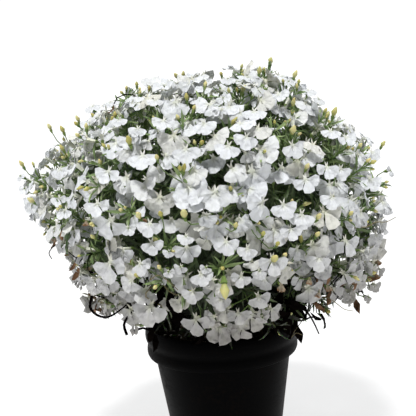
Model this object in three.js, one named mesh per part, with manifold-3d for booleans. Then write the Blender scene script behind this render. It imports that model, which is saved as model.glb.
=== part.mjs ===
// A white edging lobelia in a black nursery pot: a round mound of small five-lobed blooms on
// leafy stems, which stand in plain holes in the potting soil.
// Millimetres, +Z up. The origin is the centre of the flat spot that the pot stands on.
import * as THREE from "three";
import { mergeVertices } from "three/addons/utils/BufferGeometryUtils.js";
import Module from "manifold-3d";

const wasm = await Module();
wasm.setup();

// Driving dimensions
const POT_HEIGHT = 95;
const RIM_RADIUS = 53.5;
const RIM_BAND = 22;
const WALL_RADIUS_UNDER_RIM = 47.8;
const BASE_RADIUS = 36.5;
const WALL = 1.3;
const FLOOR = 2;
const DRAIN_HOLES = 6;
const DRAIN_RADIUS = 3.2;
const DRAIN_RING = 26;
const SOIL_BELOW_RIM = 10;
const SOIL_CROWN = 3;
const GAP = 0.45;
const PEDICEL_GAP = 0.3;

// The mound is a flattened ball, fuller below its waist than above it.
const MOUND_RADIUS = 113;
const MOUND_WAIST = 184;
const MOUND_UP = 77;
const MOUND_DOWN = 92;
const MOUND_FULLNESS_ABOVE = 0.85;
const MOUND_FULLNESS_BELOW = 0.57;
const MOUND_LOWEST = THREE.MathUtils.degToRad(-66);

// Clumps and dents of the mound: bearing and slope in degrees, and how far each stands out or
// in, as a share of the mound's size.
const CLUMPS = [
  [180, 10, 0.15],
  [180, -40, -0.14],
  [0, -48, 0.13],
  [0, 45, -0.12],
  [20, 75, 0.09],
  [300, 12, -0.05],
  [262, -22, 0.07],
  [225, 42, 0.05],
  [60, 8, 0.08],
  [110, -30, -0.06],
  [115, 38, 0.06],
];
const CLUMP_SPREAD = THREE.MathUtils.degToRad(16);

const STEMS = 20;
const FIRST_PLACE = 0.1;
const STEM_RADIUS = 1.25;
const STEM_TIP_RADIUS = 1;
const STEM_DEPTH = 9;
const HOLE_RADIUS = 2;
const HEAD_DEPTH = 27;
const BLOOMS = 144;
const BLOOM_DEPTH = 2;
const LIP = 21;
const FILLER_PLACES = 400;
const FILLER_DISTANCE = 21;
const CROSSING = 0.12;
const PEDICEL_ROOT_RADIUS = 0.35;
const PEDICEL_RADIUS = 0.6;
const CALYX_RADIUS = 1.1;
const PEDICELS = 2;
const LEAVES = 6;
const CORE_RADIUS = 16;
const CORE_DEPTH = 8;
const LEAF_LENGTH = 32;
const LEAF_WIDTH = 8.5;
const LEAF_ROOT = 0.3;
const BUD_LENGTH = 7.5;
const BUD_RADIUS = 2;

const GOLDEN_ANGLE = Math.PI * (3 - Math.sqrt(5));
const UP = new THREE.Vector3(0, 0, 1);

// A fixed draw from 0 to 1 for each index and each purpose, so every build is the same.
function draw(index, purpose) {
  const value = Math.sin(index * 12.9898 + purpose * 78.233) * 43758.5453;
  return value - Math.floor(value);
}

function drawBetween(index, purpose, low, high) {
  return low + (high - low) * draw(index, purpose);
}

// Turns a closed three.js geometry into a solid that can be joined and cut.
function solidOf(geometry) {
  geometry.deleteAttribute("normal");
  geometry.deleteAttribute("uv");
  const merged = mergeVertices(geometry, 1e-4);
  return new wasm.Manifold(
    new wasm.Mesh({
      numProp: 3,
      vertProperties: merged.attributes.position.array,
      triVerts: new Uint32Array(merged.index.array),
    }),
  );
}

function geometryOf(solid) {
  const { vertProperties, triVerts } = solid.getMesh();
  const geometry = new THREE.BufferGeometry();
  geometry.setAttribute("position", new THREE.BufferAttribute(vertProperties, 3));
  geometry.setIndex(new THREE.BufferAttribute(triVerts, 1));
  return geometry;
}

function boxOf(solid) {
  const { min, max } = solid.boundingBox();
  return new THREE.Box3(new THREE.Vector3(...min), new THREE.Vector3(...max));
}

// True if each edge of a solid has two faces, so that no two edges fall on one another.
function hasPlainEdges(solid) {
  const { vertProperties, triVerts } = solid.getMesh();
  const spot = (vertex) => {
    return [0, 1, 2].map((axis) => vertProperties[3 * vertex + axis].toFixed(3)).join(" ");
  };
  const faces = new Map();
  triVerts.forEach((vertex, i) => {
    const next = triVerts[i % 3 === 2 ? i - 2 : i + 1];
    const edge = [spot(vertex), spot(next)].sort().join(" to ");
    faces.set(edge, (faces.get(edge) ?? 0) + 1);
  });
  return [...faces.values()].every((count) => count === 2);
}

// Joins a new piece to a body, without loose scraps, hollows sealed by joining, or edges too
// short to matter. Null if the two don't make one plain body.
function joined(body, piece) {
  const bodies = body.add(piece).simplify(0.05).decompose();
  const largest = bodies.reduce((best, other) => (other.volume() > best.volume() ? other : best));
  return hasPlainEdges(largest) ? largest : null;
}

// True if the solid keeps the gap to each of the others.
function isClear(solid, others, gap = GAP) {
  const reach = boxOf(solid).expandByScalar(gap);
  return others.every(
    (other) => !reach.intersectsBox(boxOf(other)) || solid.minGap(other, 2 * gap) >= gap,
  );
}

// A thin blade: a cone whose rim is moved to an outline of points, and whose point and
// base centre become the middles of the blade's two faces.
function blade(outline, front, back) {
  const geometry = new THREE.ConeGeometry(1, 1, outline.length);
  const position = geometry.attributes.position;
  for (let i = 0; i < position.count; i += 1) {
    const [x, y, z] = [position.getX(i), position.getY(i), position.getZ(i)];
    const turn = Math.atan2(x, z) / (2 * Math.PI);
    const step = (Math.round(turn * outline.length) + outline.length) % outline.length;
    const onRim = Math.hypot(x, z) > 0.5;
    const target = onRim ? outline[step] : y > 0 ? back : front;
    position.setXYZ(i, target.x, target.y, target.z);
  }
  return geometry;
}

// A three-sided stalk that tapers along a line of points in one plane.
class Stalk {
  constructor(centres, side, startRadius, endRadius) {
    this.centres = centres;
    const steps = centres.length - 1;
    const geometry = new THREE.CylinderGeometry(endRadius, startRadius, 1, 3, steps);
    const position = geometry.attributes.position;
    for (let i = 0; i < position.count; i += 1) {
      const ring = Math.round((position.getY(i) + 0.5) * steps);
      const ahead = centres[Math.min(ring + 1, steps)].clone();
      const along = ahead.sub(centres[Math.max(ring - 1, 0)]).normalize();
      const across = new THREE.Vector3().crossVectors(side, along);
      const moved = centres[ring]
        .clone()
        .addScaledVector(side, position.getX(i))
        .addScaledVector(across, position.getZ(i));
      position.setXYZ(i, moved.x, moved.y, moved.z);
    }
    this.solid = solidOf(geometry);
  }

  // The point on the middle line at a share of its points.
  pointAt(share) {
    const place = share * (this.centres.length - 1);
    const ring = Math.min(Math.floor(place), this.centres.length - 2);
    return this.centres[ring].clone().lerp(this.centres[ring + 1], place - ring);
  }

  directionAt(share) {
    return this.pointAt(Math.min(share + 0.05, 1)).sub(this.pointAt(share - 0.05)).normalize();
  }
}

// The plain mound's radius, and its height over the waist.
function moundOutline(slope) {
  const fullness = slope > 0 ? MOUND_FULLNESS_ABOVE : MOUND_FULLNESS_BELOW;
  const rise = slope > 0 ? MOUND_UP : MOUND_DOWN;
  return [MOUND_RADIUS * Math.max(Math.cos(slope), 0) ** fullness, rise * Math.sin(slope)];
}

// How far the mound stands out, as a share of its plain size: a slow wave round it, and its
// clumps and dents, which fade with the angle from their middles.
function moundSwell(slope, bearing) {
  let swell = 1 + 0.02 * Math.sin(3 * bearing + 0.8) * Math.cos(slope);
  for (const [degrees, slopeDegrees, bulge] of CLUMPS) {
    const middle = THREE.MathUtils.degToRad(slopeDegrees);
    const across = bearing - THREE.MathUtils.degToRad(degrees);
    const level = Math.cos(slope) * Math.cos(middle) * Math.cos(across);
    const near = Math.sin(slope) * Math.sin(middle) + level;
    swell += bulge * Math.exp((-2 * (1 - near)) / CLUMP_SPREAD ** 2);
  }
  return swell;
}

// The mound's surface at a slope from +90 degrees at the top to below its waist, and at a
// bearing round the pot's axis.
function moundPoint(slope, bearing) {
  const [radius, climb] = moundOutline(slope);
  const swell = moundSwell(slope, bearing);
  return new THREE.Vector3(
    swell * radius * Math.cos(bearing),
    swell * radius * Math.sin(bearing),
    MOUND_WAIST + swell * climb,
  );
}

// The direction straight out of the mound's surface.
function moundNormal(slope, bearing) {
  const step = 0.01;
  const up = Math.min(slope + step, Math.PI / 2 - step);
  const along = moundPoint(up, bearing).sub(moundPoint(up - 2 * step, bearing));
  const around = moundPoint(up - step, bearing + step).sub(moundPoint(up - step, bearing - step));
  return around.cross(along).normalize();
}

// The slopes that share the mound's surface out evenly, from the top down. The first place
// lies at a share of one place's surface from the top.
function evenSlopes(count, first) {
  const bands = 400;
  const slopeAt = (band) => Math.PI / 2 + ((MOUND_LOWEST - Math.PI / 2) * band) / bands;
  const areas = [0];
  for (let band = 1; band <= bands; band += 1) {
    const [r0, z0] = moundOutline(slopeAt(band - 1));
    const [r1, z1] = moundOutline(slopeAt(band));
    areas.push(areas[band - 1] + ((r0 + r1) / 2) * Math.hypot(r1 - r0, z1 - z0));
  }
  return Array.from({ length: count }, (_, i) => {
    const wanted = ((i + first) / count) * areas[bands];
    return slopeAt(areas.findIndex((area) => area >= wanted));
  });
}

// Places spread over the mound by the golden angle, as leaves are spread round a stem.
function moundPlaces(count, jitter, first = 0.5) {
  return evenSlopes(count, first).map((slope, i) => {
    const bearing = i * GOLDEN_ANGLE + drawBetween(i, 1, -jitter, jitter);
    const wobble = slope + drawBetween(i, 2, -jitter, jitter) * 0.6;
    const bounded = THREE.MathUtils.clamp(wobble, MOUND_LOWEST, Math.PI / 2 - 0.02);
    return {
      index: i,
      point: moundPoint(bounded, bearing),
      normal: moundNormal(bounded, bearing),
      bearing,
    };
  });
}

function latheOf(profile, sides) {
  const points = profile.map(([radius, height]) => new THREE.Vector2(radius, height));
  return new THREE.LatheGeometry(points, sides).rotateX(Math.PI / 2);
}

// The pot: a thin tapered wall with a double-beaded rim band and drain holes in its floor.
function potSolid() {
  const band = POT_HEIGHT - RIM_BAND;
  const profile = [
    [0, 0],
    [BASE_RADIUS - 1.5, 0],
    [BASE_RADIUS, 1.5],
    [WALL_RADIUS_UNDER_RIM, band],
    [RIM_RADIUS - 1.8, band + 0.7],
    [RIM_RADIUS - 0.8, band + 3],
    [RIM_RADIUS - 0.8, band + 6],
    [RIM_RADIUS - 1.5, band + 9],
    [RIM_RADIUS, band + 13.5],
    [RIM_RADIUS, POT_HEIGHT - 4],
    [RIM_RADIUS - 1.3, POT_HEIGHT],
    [RIM_RADIUS - 2.4, POT_HEIGHT],
    [RIM_RADIUS - 3.1, band + 2],
    [WALL_RADIUS_UNDER_RIM - WALL, band],
    [BASE_RADIUS - WALL, FLOOR + 1.5],
    [BASE_RADIUS - WALL - 1.5, FLOOR],
    [0, FLOOR],
  ];
  let pot = solidOf(latheOf(profile, 28));
  for (let i = 0; i < DRAIN_HOLES; i += 1) {
    const bearing = ((i + 0.5) / DRAIN_HOLES) * 2 * Math.PI;
    const hole = new THREE.CylinderGeometry(DRAIN_RADIUS, DRAIN_RADIUS, 4 * FLOOR, 6)
      .rotateX(Math.PI / 2)
      .translate(DRAIN_RING * Math.cos(bearing), DRAIN_RING * Math.sin(bearing), 0);
    pot = pot.subtract(solidOf(hole));
  }
  return pot;
}

function soilHeight(radius) {
  const edge = POT_HEIGHT - SOIL_BELOW_RIM;
  return edge + SOIL_CROWN * (1 - (radius / RIM_RADIUS) ** 2);
}

// Where each stem stands in the soil: its bearing is its head's, its radius grows with the
// head's place from the mound's top to its skirt, so no two stems cross.
function stemFoot(head) {
  const radius = 38 * Math.sqrt((head.index + 0.6) / STEMS);
  return new THREE.Vector3(
    radius * Math.cos(head.bearing),
    radius * Math.sin(head.bearing),
    soilHeight(radius) - STEM_DEPTH,
  );
}

// The soil: one root ball that fills the pot, with a plain hole for each stem.
function soilSolid(heads) {
  const band = POT_HEIGHT - RIM_BAND;
  const slack = WALL + 2 * GAP;
  const profile = [
    [0, FLOOR + GAP],
    [BASE_RADIUS - slack - 1.5, FLOOR + GAP],
    [BASE_RADIUS - slack, FLOOR + GAP + 1.5],
    [WALL_RADIUS_UNDER_RIM - slack, band + 1],
    [RIM_RADIUS - 3.1 - 2 * GAP, band + 3.5],
    [RIM_RADIUS - 3.1 - 2 * GAP, soilHeight(RIM_RADIUS)],
    [36, soilHeight(36) + 0.6],
    [18, soilHeight(18) - 0.4],
    [0, soilHeight(0)],
  ];
  let soil = solidOf(latheOf(profile, 18));
  for (const head of heads) {
    const foot = stemFoot(head);
    const depth = STEM_DEPTH + 0.8;
    const hole = new THREE.CylinderGeometry(HOLE_RADIUS, HOLE_RADIUS, 2 * depth, 5)
      .rotateX(Math.PI / 2)
      .translate(foot.x, foot.y, foot.z - 0.8 + depth);
    soil = soil.subtract(solidOf(hole));
  }
  return soil;
}

// Half of a bloom's outline, from the notch between its two upper lobes round to the middle
// of its lip: the angle from its upper side, the reach as a share of the lip, and the bend.
const BLOOM_HALF = [
  [0, 0.22, -0.1],
  [18, 0.68, 0.12],
  [42, 0.26, -0.1],
  [72, 0.86, -0.03],
  [100, 0.98, -0.12],
  [128, 0.92, 0],
  [146, 0.52, -0.06],
  [159, 0.94, 0.02],
  [180, 1.02, -0.14],
];

function bloomOutline(size, index) {
  const half = BLOOM_HALF.map(([degrees, reach, bend]) => [degrees, reach, bend]);
  const otherHalf = half.slice(1, -1).reverse();
  const full = [...half, ...otherHalf.map(([degrees, reach, bend]) => [360 - degrees, reach, bend])];
  return full.map(([degrees, reach, bend], i) => {
    const angle = THREE.MathUtils.degToRad(degrees);
    const length = size * reach * drawBetween(index * 17 + i, 3, 0.94, 1.06);
    const wave = size * (bend + drawBetween(index * 17 + i, 4, -0.05, 0.05));
    return new THREE.Vector3(length * Math.sin(angle), length * Math.cos(angle), wave);
  });
}

// The frame of a bloom on the mound: it faces out of the mound, more level than the
// surface, with its lip hanging down the slope.
function bloomFrame(place) {
  const level = new THREE.Vector3(Math.cos(place.bearing), Math.sin(place.bearing), 0);
  const facing = place.normal.clone().multiplyScalar(0.8).addScaledVector(level, 0.2);
  facing.z = Math.max(facing.z, -0.2);
  facing.x += drawBetween(place.index, 5, -0.22, 0.22);
  facing.y += drawBetween(place.index, 6, -0.22, 0.22);
  facing.z += drawBetween(place.index, 7, -0.1, 0.22);
  facing.normalize();
  const upper = UP.clone().multiplyScalar(0.8).addScaledVector(level, -0.6);
  upper.addScaledVector(facing, -upper.dot(facing)).normalize();
  upper.applyAxisAngle(facing, drawBetween(place.index, 8, -0.4, 0.4));
  const side = new THREE.Vector3().crossVectors(upper, facing);
  return { side, upper, facing };
}

// One bloom as a thin dished blade, with the middle of its back where its stalk ends.
function bloomSolid(place, centre, size) {
  const { side, upper, facing } = bloomFrame(place);
  const dish = new THREE.Vector3(0, 0, -0.13 * size);
  const heel = new THREE.Vector3(0, 0, -0.3 * size);
  const geometry = blade(bloomOutline(size, place.index), dish, heel);
  geometry.applyMatrix4(new THREE.Matrix4().makeBasis(side, upper, facing).setPosition(centre));
  const back = centre.clone().addScaledVector(facing, -0.3 * size);
  const lip = centre.clone().addScaledVector(upper, -0.4 * size);
  return { solid: solidOf(geometry), lip, back, facing };
}

// The ways to set a bloom of a head, from the one nearest its own place to the one drawn
// in the most, raised or sunk the most and made the smallest.
const SETTINGS = [1, 0.9, 0.8, 0.7, 0.6]
  .flatMap((share) =>
    [0.04, 0.1, 0.16, 0.23, 0.32, 0.42].flatMap((pull) =>
      [0, -3, 3, -6, 6].map((lift) => ({ share, pull, lift })),
    ),
  )
  .map((set) => ({ ...set, cost: 3 * set.pull + 0.09 * Math.abs(set.lift) + 3 * (1 - set.share) }))
  .sort((a, b) => a.cost - b.cost);

// Adds the next bloom to a head. Its petals must cross those of its own head and keep
// clear of all else, so that a head is one body. False if no place that waits can be filled.
function addBloom(head, inTheWay) {
  for (const place of head.waiting) {
    for (const { share, pull, lift } of SETTINGS) {
      const centre = place.point.clone().lerp(head.point, pull);
      centre.addScaledVector(place.normal, lift - BLOOM_DEPTH);
      const bloom = bloomSolid(place, centre, LIP * share);
      const crosses = !head.body || bloom.solid.intersect(head.body).volume() > CROSSING;
      const fits = crosses && isClear(bloom.solid, inTheWay);
      const body = fits && joined(head.body ?? bloom.solid, bloom.solid);
      if (body) {
        head.body = body;
        head.blooms.push({ ...bloom, place });
        head.waiting.splice(head.waiting.indexOf(place), 1);
        return true;
      }
    }
  }
  return false;
}

// Grows all heads in turn, bloom by bloom, so that they share the mound fairly.
function growHeads(heads, inTheWay) {
  let growing = heads;
  while (growing.length > 0) {
    growing = growing.filter((head) => {
      const otherHeads = heads.filter((other) => other !== head && other.body);
      return addBloom(head, [...inTheWay, ...otherHeads.map((other) => other.body)]);
    });
  }
}

// The main stem: straight up out of its hole, then in an arc to below the middle of its head.
function mainStem(head) {
  const foot = stemFoot(head);
  const collar = foot.clone().addScaledVector(UP, STEM_DEPTH + 2);
  const top = head.point.clone().addScaledVector(head.normal, -HEAD_DEPTH);
  const reach = collar.distanceTo(top);
  const rising = collar.clone().addScaledVector(UP, 0.45 * reach);
  const arriving = top.clone().addScaledVector(head.normal, -0.3 * reach);
  const arc = new THREE.CubicBezierCurve3(collar, rising, arriving, top);
  const side = new THREE.Vector3(-Math.sin(head.bearing), Math.cos(head.bearing), 0);
  return new Stalk([foot, ...arc.getPoints(5)], side, STEM_RADIUS, STEM_TIP_RADIUS);
}

// A narrow arched leaf that starts at a point inside its stem.
function leafSolid(start, direction, facing, length) {
  const half = [
    [1, 0],
    [0.72, 0.8],
    [0.42, 1],
    [0, 0],
  ];
  const outline = [...half, ...half.slice(1, -1).reverse().map(([along, across]) => [along, -across])];
  const arch = (along) => 0.16 * length * (1 - (2 * along - 1) ** 2);
  const points = outline.map(([along, across]) => {
    const reach = along * length - LEAF_ROOT;
    return new THREE.Vector3((across * LEAF_WIDTH) / 2, reach, arch(along));
  });
  const middle = length / 2;
  const front = new THREE.Vector3(0, middle, arch(0.5) + 0.5);
  const back = new THREE.Vector3(0, middle, arch(0.5) - 0.7);
  const geometry = blade(points, front, back);
  const normal = facing.clone().addScaledVector(direction, -facing.dot(direction)).normalize();
  const side = new THREE.Vector3().crossVectors(direction, normal);
  geometry.applyMatrix4(new THREE.Matrix4().makeBasis(side, direction, normal).setPosition(start));
  return solidOf(geometry);
}

function budSolid(base, direction) {
  const turn = new THREE.Quaternion().setFromUnitVectors(UP, direction);
  const geometry = new THREE.OctahedronGeometry(1, 0)
    .scale(BUD_RADIUS, BUD_RADIUS, BUD_LENGTH / 2)
    .applyQuaternion(turn);
  const centre = base.clone().addScaledVector(direction, 0.3 * BUD_LENGTH);
  return solidOf(geometry.translate(centre.x, centre.y, centre.z));
}

// The stalk of a bloom or a bud, from the main stem to where it arrives along a direction.
function pedicel(stem, along, end, facing, endRadius) {
  const start = stem.pointAt(along);
  const bend = end.clone().addScaledVector(facing, -0.45 * start.distanceTo(end));
  const arc = new THREE.QuadraticBezierCurve3(start, bend, end);
  const side = bend.clone().sub(start).cross(facing).normalize();
  return new Stalk(arc.getPoints(2), side, PEDICEL_ROOT_RADIUS, endRadius);
}

const TURNS = [0, 1, -1, 2, -2, 3];

// The dense middle of a leafy stem's top, which its leaves stand out of.
function coreSolid(head, centre) {
  const turn = new THREE.Quaternion().setFromUnitVectors(UP, head.normal);
  const geometry = new THREE.IcosahedronGeometry(1, 0)
    .scale(CORE_RADIUS, CORE_RADIUS, CORE_DEPTH)
    .applyQuaternion(turn)
    .translate(centre.x, centre.y, centre.z);
  return solidOf(geometry);
}

// A leafy stem: the main stem with its dense top, stalks to the middle blooms of its head,
// leaves that spread under the head, and buds that stand out between the blooms.
function leafyStem(head, stem, inTheWay) {
  let body = stem.solid;
  const grow = (candidates, gap = GAP) => {
    for (const candidate of candidates) {
      const piece = candidate();
      const grown = isClear(piece, inTheWay, gap) && joined(body, piece);
      if (grown) {
        body = grown;
        return;
      }
    }
  };
  const top = stem.pointAt(1);
  const level = new THREE.Vector3().crossVectors(head.normal, UP).normalize();
  grow([0, 3, 6].map((sink) => () => coreSolid(head, top.clone().addScaledVector(head.normal, -sink))));
  head.blooms.slice(0, PEDICELS).forEach(({ back, facing }, i) => {
    const tries = [0, 0.1, 0.2, 0.3, 0.45, 0.6].flatMap((short) =>
      [1, 0.94, 0.88].map((share) => ({ share: share - 0.03 * i, short: PEDICEL_GAP + short })),
    );
    grow(tries.map(({ share, short }) => () => {
      const end = back.clone().addScaledVector(facing, -short);
      return pedicel(stem, share, end, facing, CALYX_RADIUS).solid;
    }), PEDICEL_GAP);
  });
  for (let i = 0; i < LEAVES; i += 1) {
    const seed = head.index * 31 + i;
    grow(TURNS.map((turn) => () => {
      const across = level.clone();
      across.applyAxisAngle(head.normal, (head.index + i) * GOLDEN_ANGLE + turn * 0.3);
      const direction = head.normal.clone().applyAxisAngle(across, drawBetween(seed, 11, 0.8, 1.4));
      const length = LEAF_LENGTH * drawBetween(seed, 12, 0.85, 1.15);
      const outward = head.normal.clone().applyAxisAngle(across, Math.PI / 2);
      const start = top.clone().addScaledVector(outward, 0.6 * CORE_RADIUS);
      return leafSolid(start, direction, head.normal, length);
    }));
  }
  for (let i = 0; i < 1 + (head.index % 2); i += 1) {
    const seed = head.index * 7 + i;
    grow(TURNS.map((turn) => () => {
      const aside = level.clone();
      aside.applyAxisAngle(head.normal, (i + draw(seed, 13)) * Math.PI + turn);
      const end = head.point.clone().addScaledVector(head.normal, drawBetween(seed, 14, 0, 6));
      end.addScaledVector(aside, drawBetween(seed, 15, 8, 26));
      const direction = head.normal.clone().addScaledVector(UP, 0.4).normalize();
      const stalk = pedicel(stem, 0.97 - 0.06 * i, end, direction, PEDICEL_RADIUS);
      return stalk.solid.add(budSolid(end, direction));
    }));
  }
  return body;
}

const petals = new THREE.MeshStandardMaterial({ color: 0xf3f4f2, roughness: 0.55, metalness: 0 });
const foliage = new THREE.MeshStandardMaterial({ color: 0x46702f, roughness: 0.6, metalness: 0 });
const blackPlastic = new THREE.MeshStandardMaterial({ color: 0x0b0b0c, roughness: 0.45, metalness: 0 });
const pottingSoil = new THREE.MeshStandardMaterial({ color: 0x33261c, roughness: 1, metalness: 0 });

const lobelia = new THREE.Group();

function addNode(name, solid, material) {
  const mesh = new THREE.Mesh(geometryOf(solid), material);
  mesh.name = name;
  lobelia.add(mesh);
}

// Shares places out to the nearest heads, each head's nearest place first.
function shareOut(places, heads) {
  for (const place of places) {
    const away = (head) => head.point.distanceTo(place.point);
    heads.reduce((best, head) => (away(head) < away(best) ? head : best)).waiting.push(place);
  }
  heads.forEach((head) => {
    head.waiting.sort((a, b) => a.point.distanceTo(head.point) - b.point.distanceTo(head.point));
  });
}

const heads = moundPlaces(STEMS, 0, FIRST_PLACE).map((place) => ({ ...place, waiting: [], blooms: [] }));
shareOut(moundPlaces(BLOOMS, 0.05, FIRST_PLACE), heads);

const pot = potSolid();
const soil = soilSolid(heads);
addNode("pot", pot, blackPlastic);
addNode("soil", soil, pottingSoil);

const stems = heads.map(mainStem);
const green = stems.map((stem) => stem.solid);
growHeads(heads, [pot, ...green]);

// A second, finer round of places fills the widest holes that the lips of the first one left.
const filled = heads.flatMap((head) => head.blooms.map((bloom) => bloom.lip));
const holes = [];
for (const place of moundPlaces(FILLER_PLACES, 0.05)) {
  if (filled.every((spot) => spot.distanceTo(place.point) > FILLER_DISTANCE)) {
    filled.push(place.point);
    holes.push(place);
  }
}
shareOut(holes, heads);
growHeads(heads, [pot, ...green]);

const white = heads.map((head) => head.body);
heads.forEach((head, i) => {
  const otherStems = green.filter((_, k) => k !== i);
  green[i] = leafyStem(head, stems[i], [pot, soil, ...white, ...otherStems]);
  const number = String(i + 1).padStart(2, "0");
  addNode(`leafy_stem_${number}`, green[i], foliage);
  addNode(`blooms_${number}`, white[i], petals);
});

export default lobelia;
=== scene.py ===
# %% [markdown]
# # White edging lobelia in a black nursery pot
# The real thing is a round mound of about a thousand small white blooms on fine leafy stems.
# It hides the soil and most of the pot's rim. Modelling each bloom by hand would take weeks,
# and a particle system would leave no plain meshes behind. So each kind of piece is modelled
# once, in a few dozen faces, and copied to places that grow from one another: main stems
# stand in the soil, side shoots leave the main stems, and leaves, stalks, blooms and buds
# leave the shoots.

import math
import random

import bmesh
import bpy
from mathutils import Matrix, Quaternion, Vector
from mathutils.geometry import interpolate_bezier


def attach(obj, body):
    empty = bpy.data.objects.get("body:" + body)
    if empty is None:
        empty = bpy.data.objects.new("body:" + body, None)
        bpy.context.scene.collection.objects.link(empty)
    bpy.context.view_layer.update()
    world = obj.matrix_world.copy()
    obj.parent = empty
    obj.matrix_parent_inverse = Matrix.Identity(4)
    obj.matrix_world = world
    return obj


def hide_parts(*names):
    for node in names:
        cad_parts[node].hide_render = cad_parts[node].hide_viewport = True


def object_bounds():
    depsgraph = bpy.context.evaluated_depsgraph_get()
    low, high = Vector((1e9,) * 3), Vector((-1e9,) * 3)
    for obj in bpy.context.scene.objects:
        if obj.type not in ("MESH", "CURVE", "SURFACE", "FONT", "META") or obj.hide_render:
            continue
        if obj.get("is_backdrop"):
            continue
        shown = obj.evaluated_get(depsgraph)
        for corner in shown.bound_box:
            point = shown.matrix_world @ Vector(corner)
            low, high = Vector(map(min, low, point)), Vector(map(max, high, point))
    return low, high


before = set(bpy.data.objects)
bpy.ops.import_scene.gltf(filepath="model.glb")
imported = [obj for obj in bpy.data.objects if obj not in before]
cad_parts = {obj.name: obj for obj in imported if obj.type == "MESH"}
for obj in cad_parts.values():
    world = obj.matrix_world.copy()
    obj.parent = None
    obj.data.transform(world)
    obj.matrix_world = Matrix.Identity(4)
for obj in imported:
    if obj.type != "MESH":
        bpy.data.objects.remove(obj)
cad_low, cad_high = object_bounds()
MM = 0.001
UP = Vector((0, 0, 1))
print("solids:", len(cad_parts), "box in mm:", [round(v / MM) for v in (*cad_low, *cad_high)])

# %% [markdown]
# ## The camera
# The photograph looks slightly down on the mound, through a longish lens, and the pot leans a
# few degrees because the camera was not held level. The place and the lens could be fitted by
# a solver, but three measures are enough: the mound's width gives the distance, the floor's
# rise gives the height, and the pot's lean gives the roll.

# %% Camera
LENS = 80 * MM
SENSOR = 36 * MM
CAMERA_DISTANCE = 0.634
CAMERA_HEIGHT_ANGLE = math.radians(9.5)
CAMERA_ROLL = math.radians(-3.5)
LOOK_AT = Vector((-0.0043, 0, 0.1741))

away = Vector((0, -math.cos(CAMERA_HEIGHT_ANGLE), math.sin(CAMERA_HEIGHT_ANGLE)))
bpy.ops.object.camera_add(location=LOOK_AT + CAMERA_DISTANCE * away)
camera = bpy.context.object
camera.data.lens = LENS / MM
camera.data.sensor_width = SENSOR / MM
camera.rotation_mode = "QUATERNION"
level_view = (-away).to_track_quat("-Z", "Y")
camera.rotation_quaternion = level_view @ Quaternion((0, 0, 1), CAMERA_ROLL)
bpy.context.scene.camera = camera
PICTURE = 416
pixel = SENSOR / LENS * CAMERA_DISTANCE / PICTURE
print("one pixel at the pot's axis is", round(pixel / MM, 3), "mm")

# %% [markdown]
# ## Shader maths
# A finish is worked out from numbers that change over a surface. Wiring Math nodes by hand
# hides the sum that they make. This small class wraps a socket, so that a plain expression
# such as 1 - mask adds the nodes.

# %% A value that changes over a surface
class Value:
    """One output socket. Arithmetic on it adds a Math node."""

    def __init__(self, socket):
        self.socket = socket

    def math(self, operation, first, second=0.0):
        tree = self.socket.id_data
        node = tree.nodes.new("ShaderNodeMath")
        node.operation = operation
        plug(tree, node.inputs[0], first)
        plug(tree, node.inputs[1], second)
        return Value(node.outputs[0])

    def __add__(self, other):
        return self.math("ADD", self, other)

    def __mul__(self, other):
        return self.math("MULTIPLY", self, other)

    def __sub__(self, other):
        return self.math("SUBTRACT", self, other)

    def __rsub__(self, other):
        return self.math("SUBTRACT", other, self)

    def __pow__(self, other):
        return self.math("POWER", self, other)

    def __truediv__(self, other):
        return self.math("DIVIDE", self, other)

    def __abs__(self):
        return self.math("ABSOLUTE", self)

    __radd__ = __add__
    __rmul__ = __mul__


def plug(tree, slot, value):
    """Links a Value to a socket, or sets the socket's own number or colour."""
    if isinstance(value, Value):
        tree.links.new(value.socket, slot)
    else:
        slot.default_value = value


print("shader maths ready")


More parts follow.
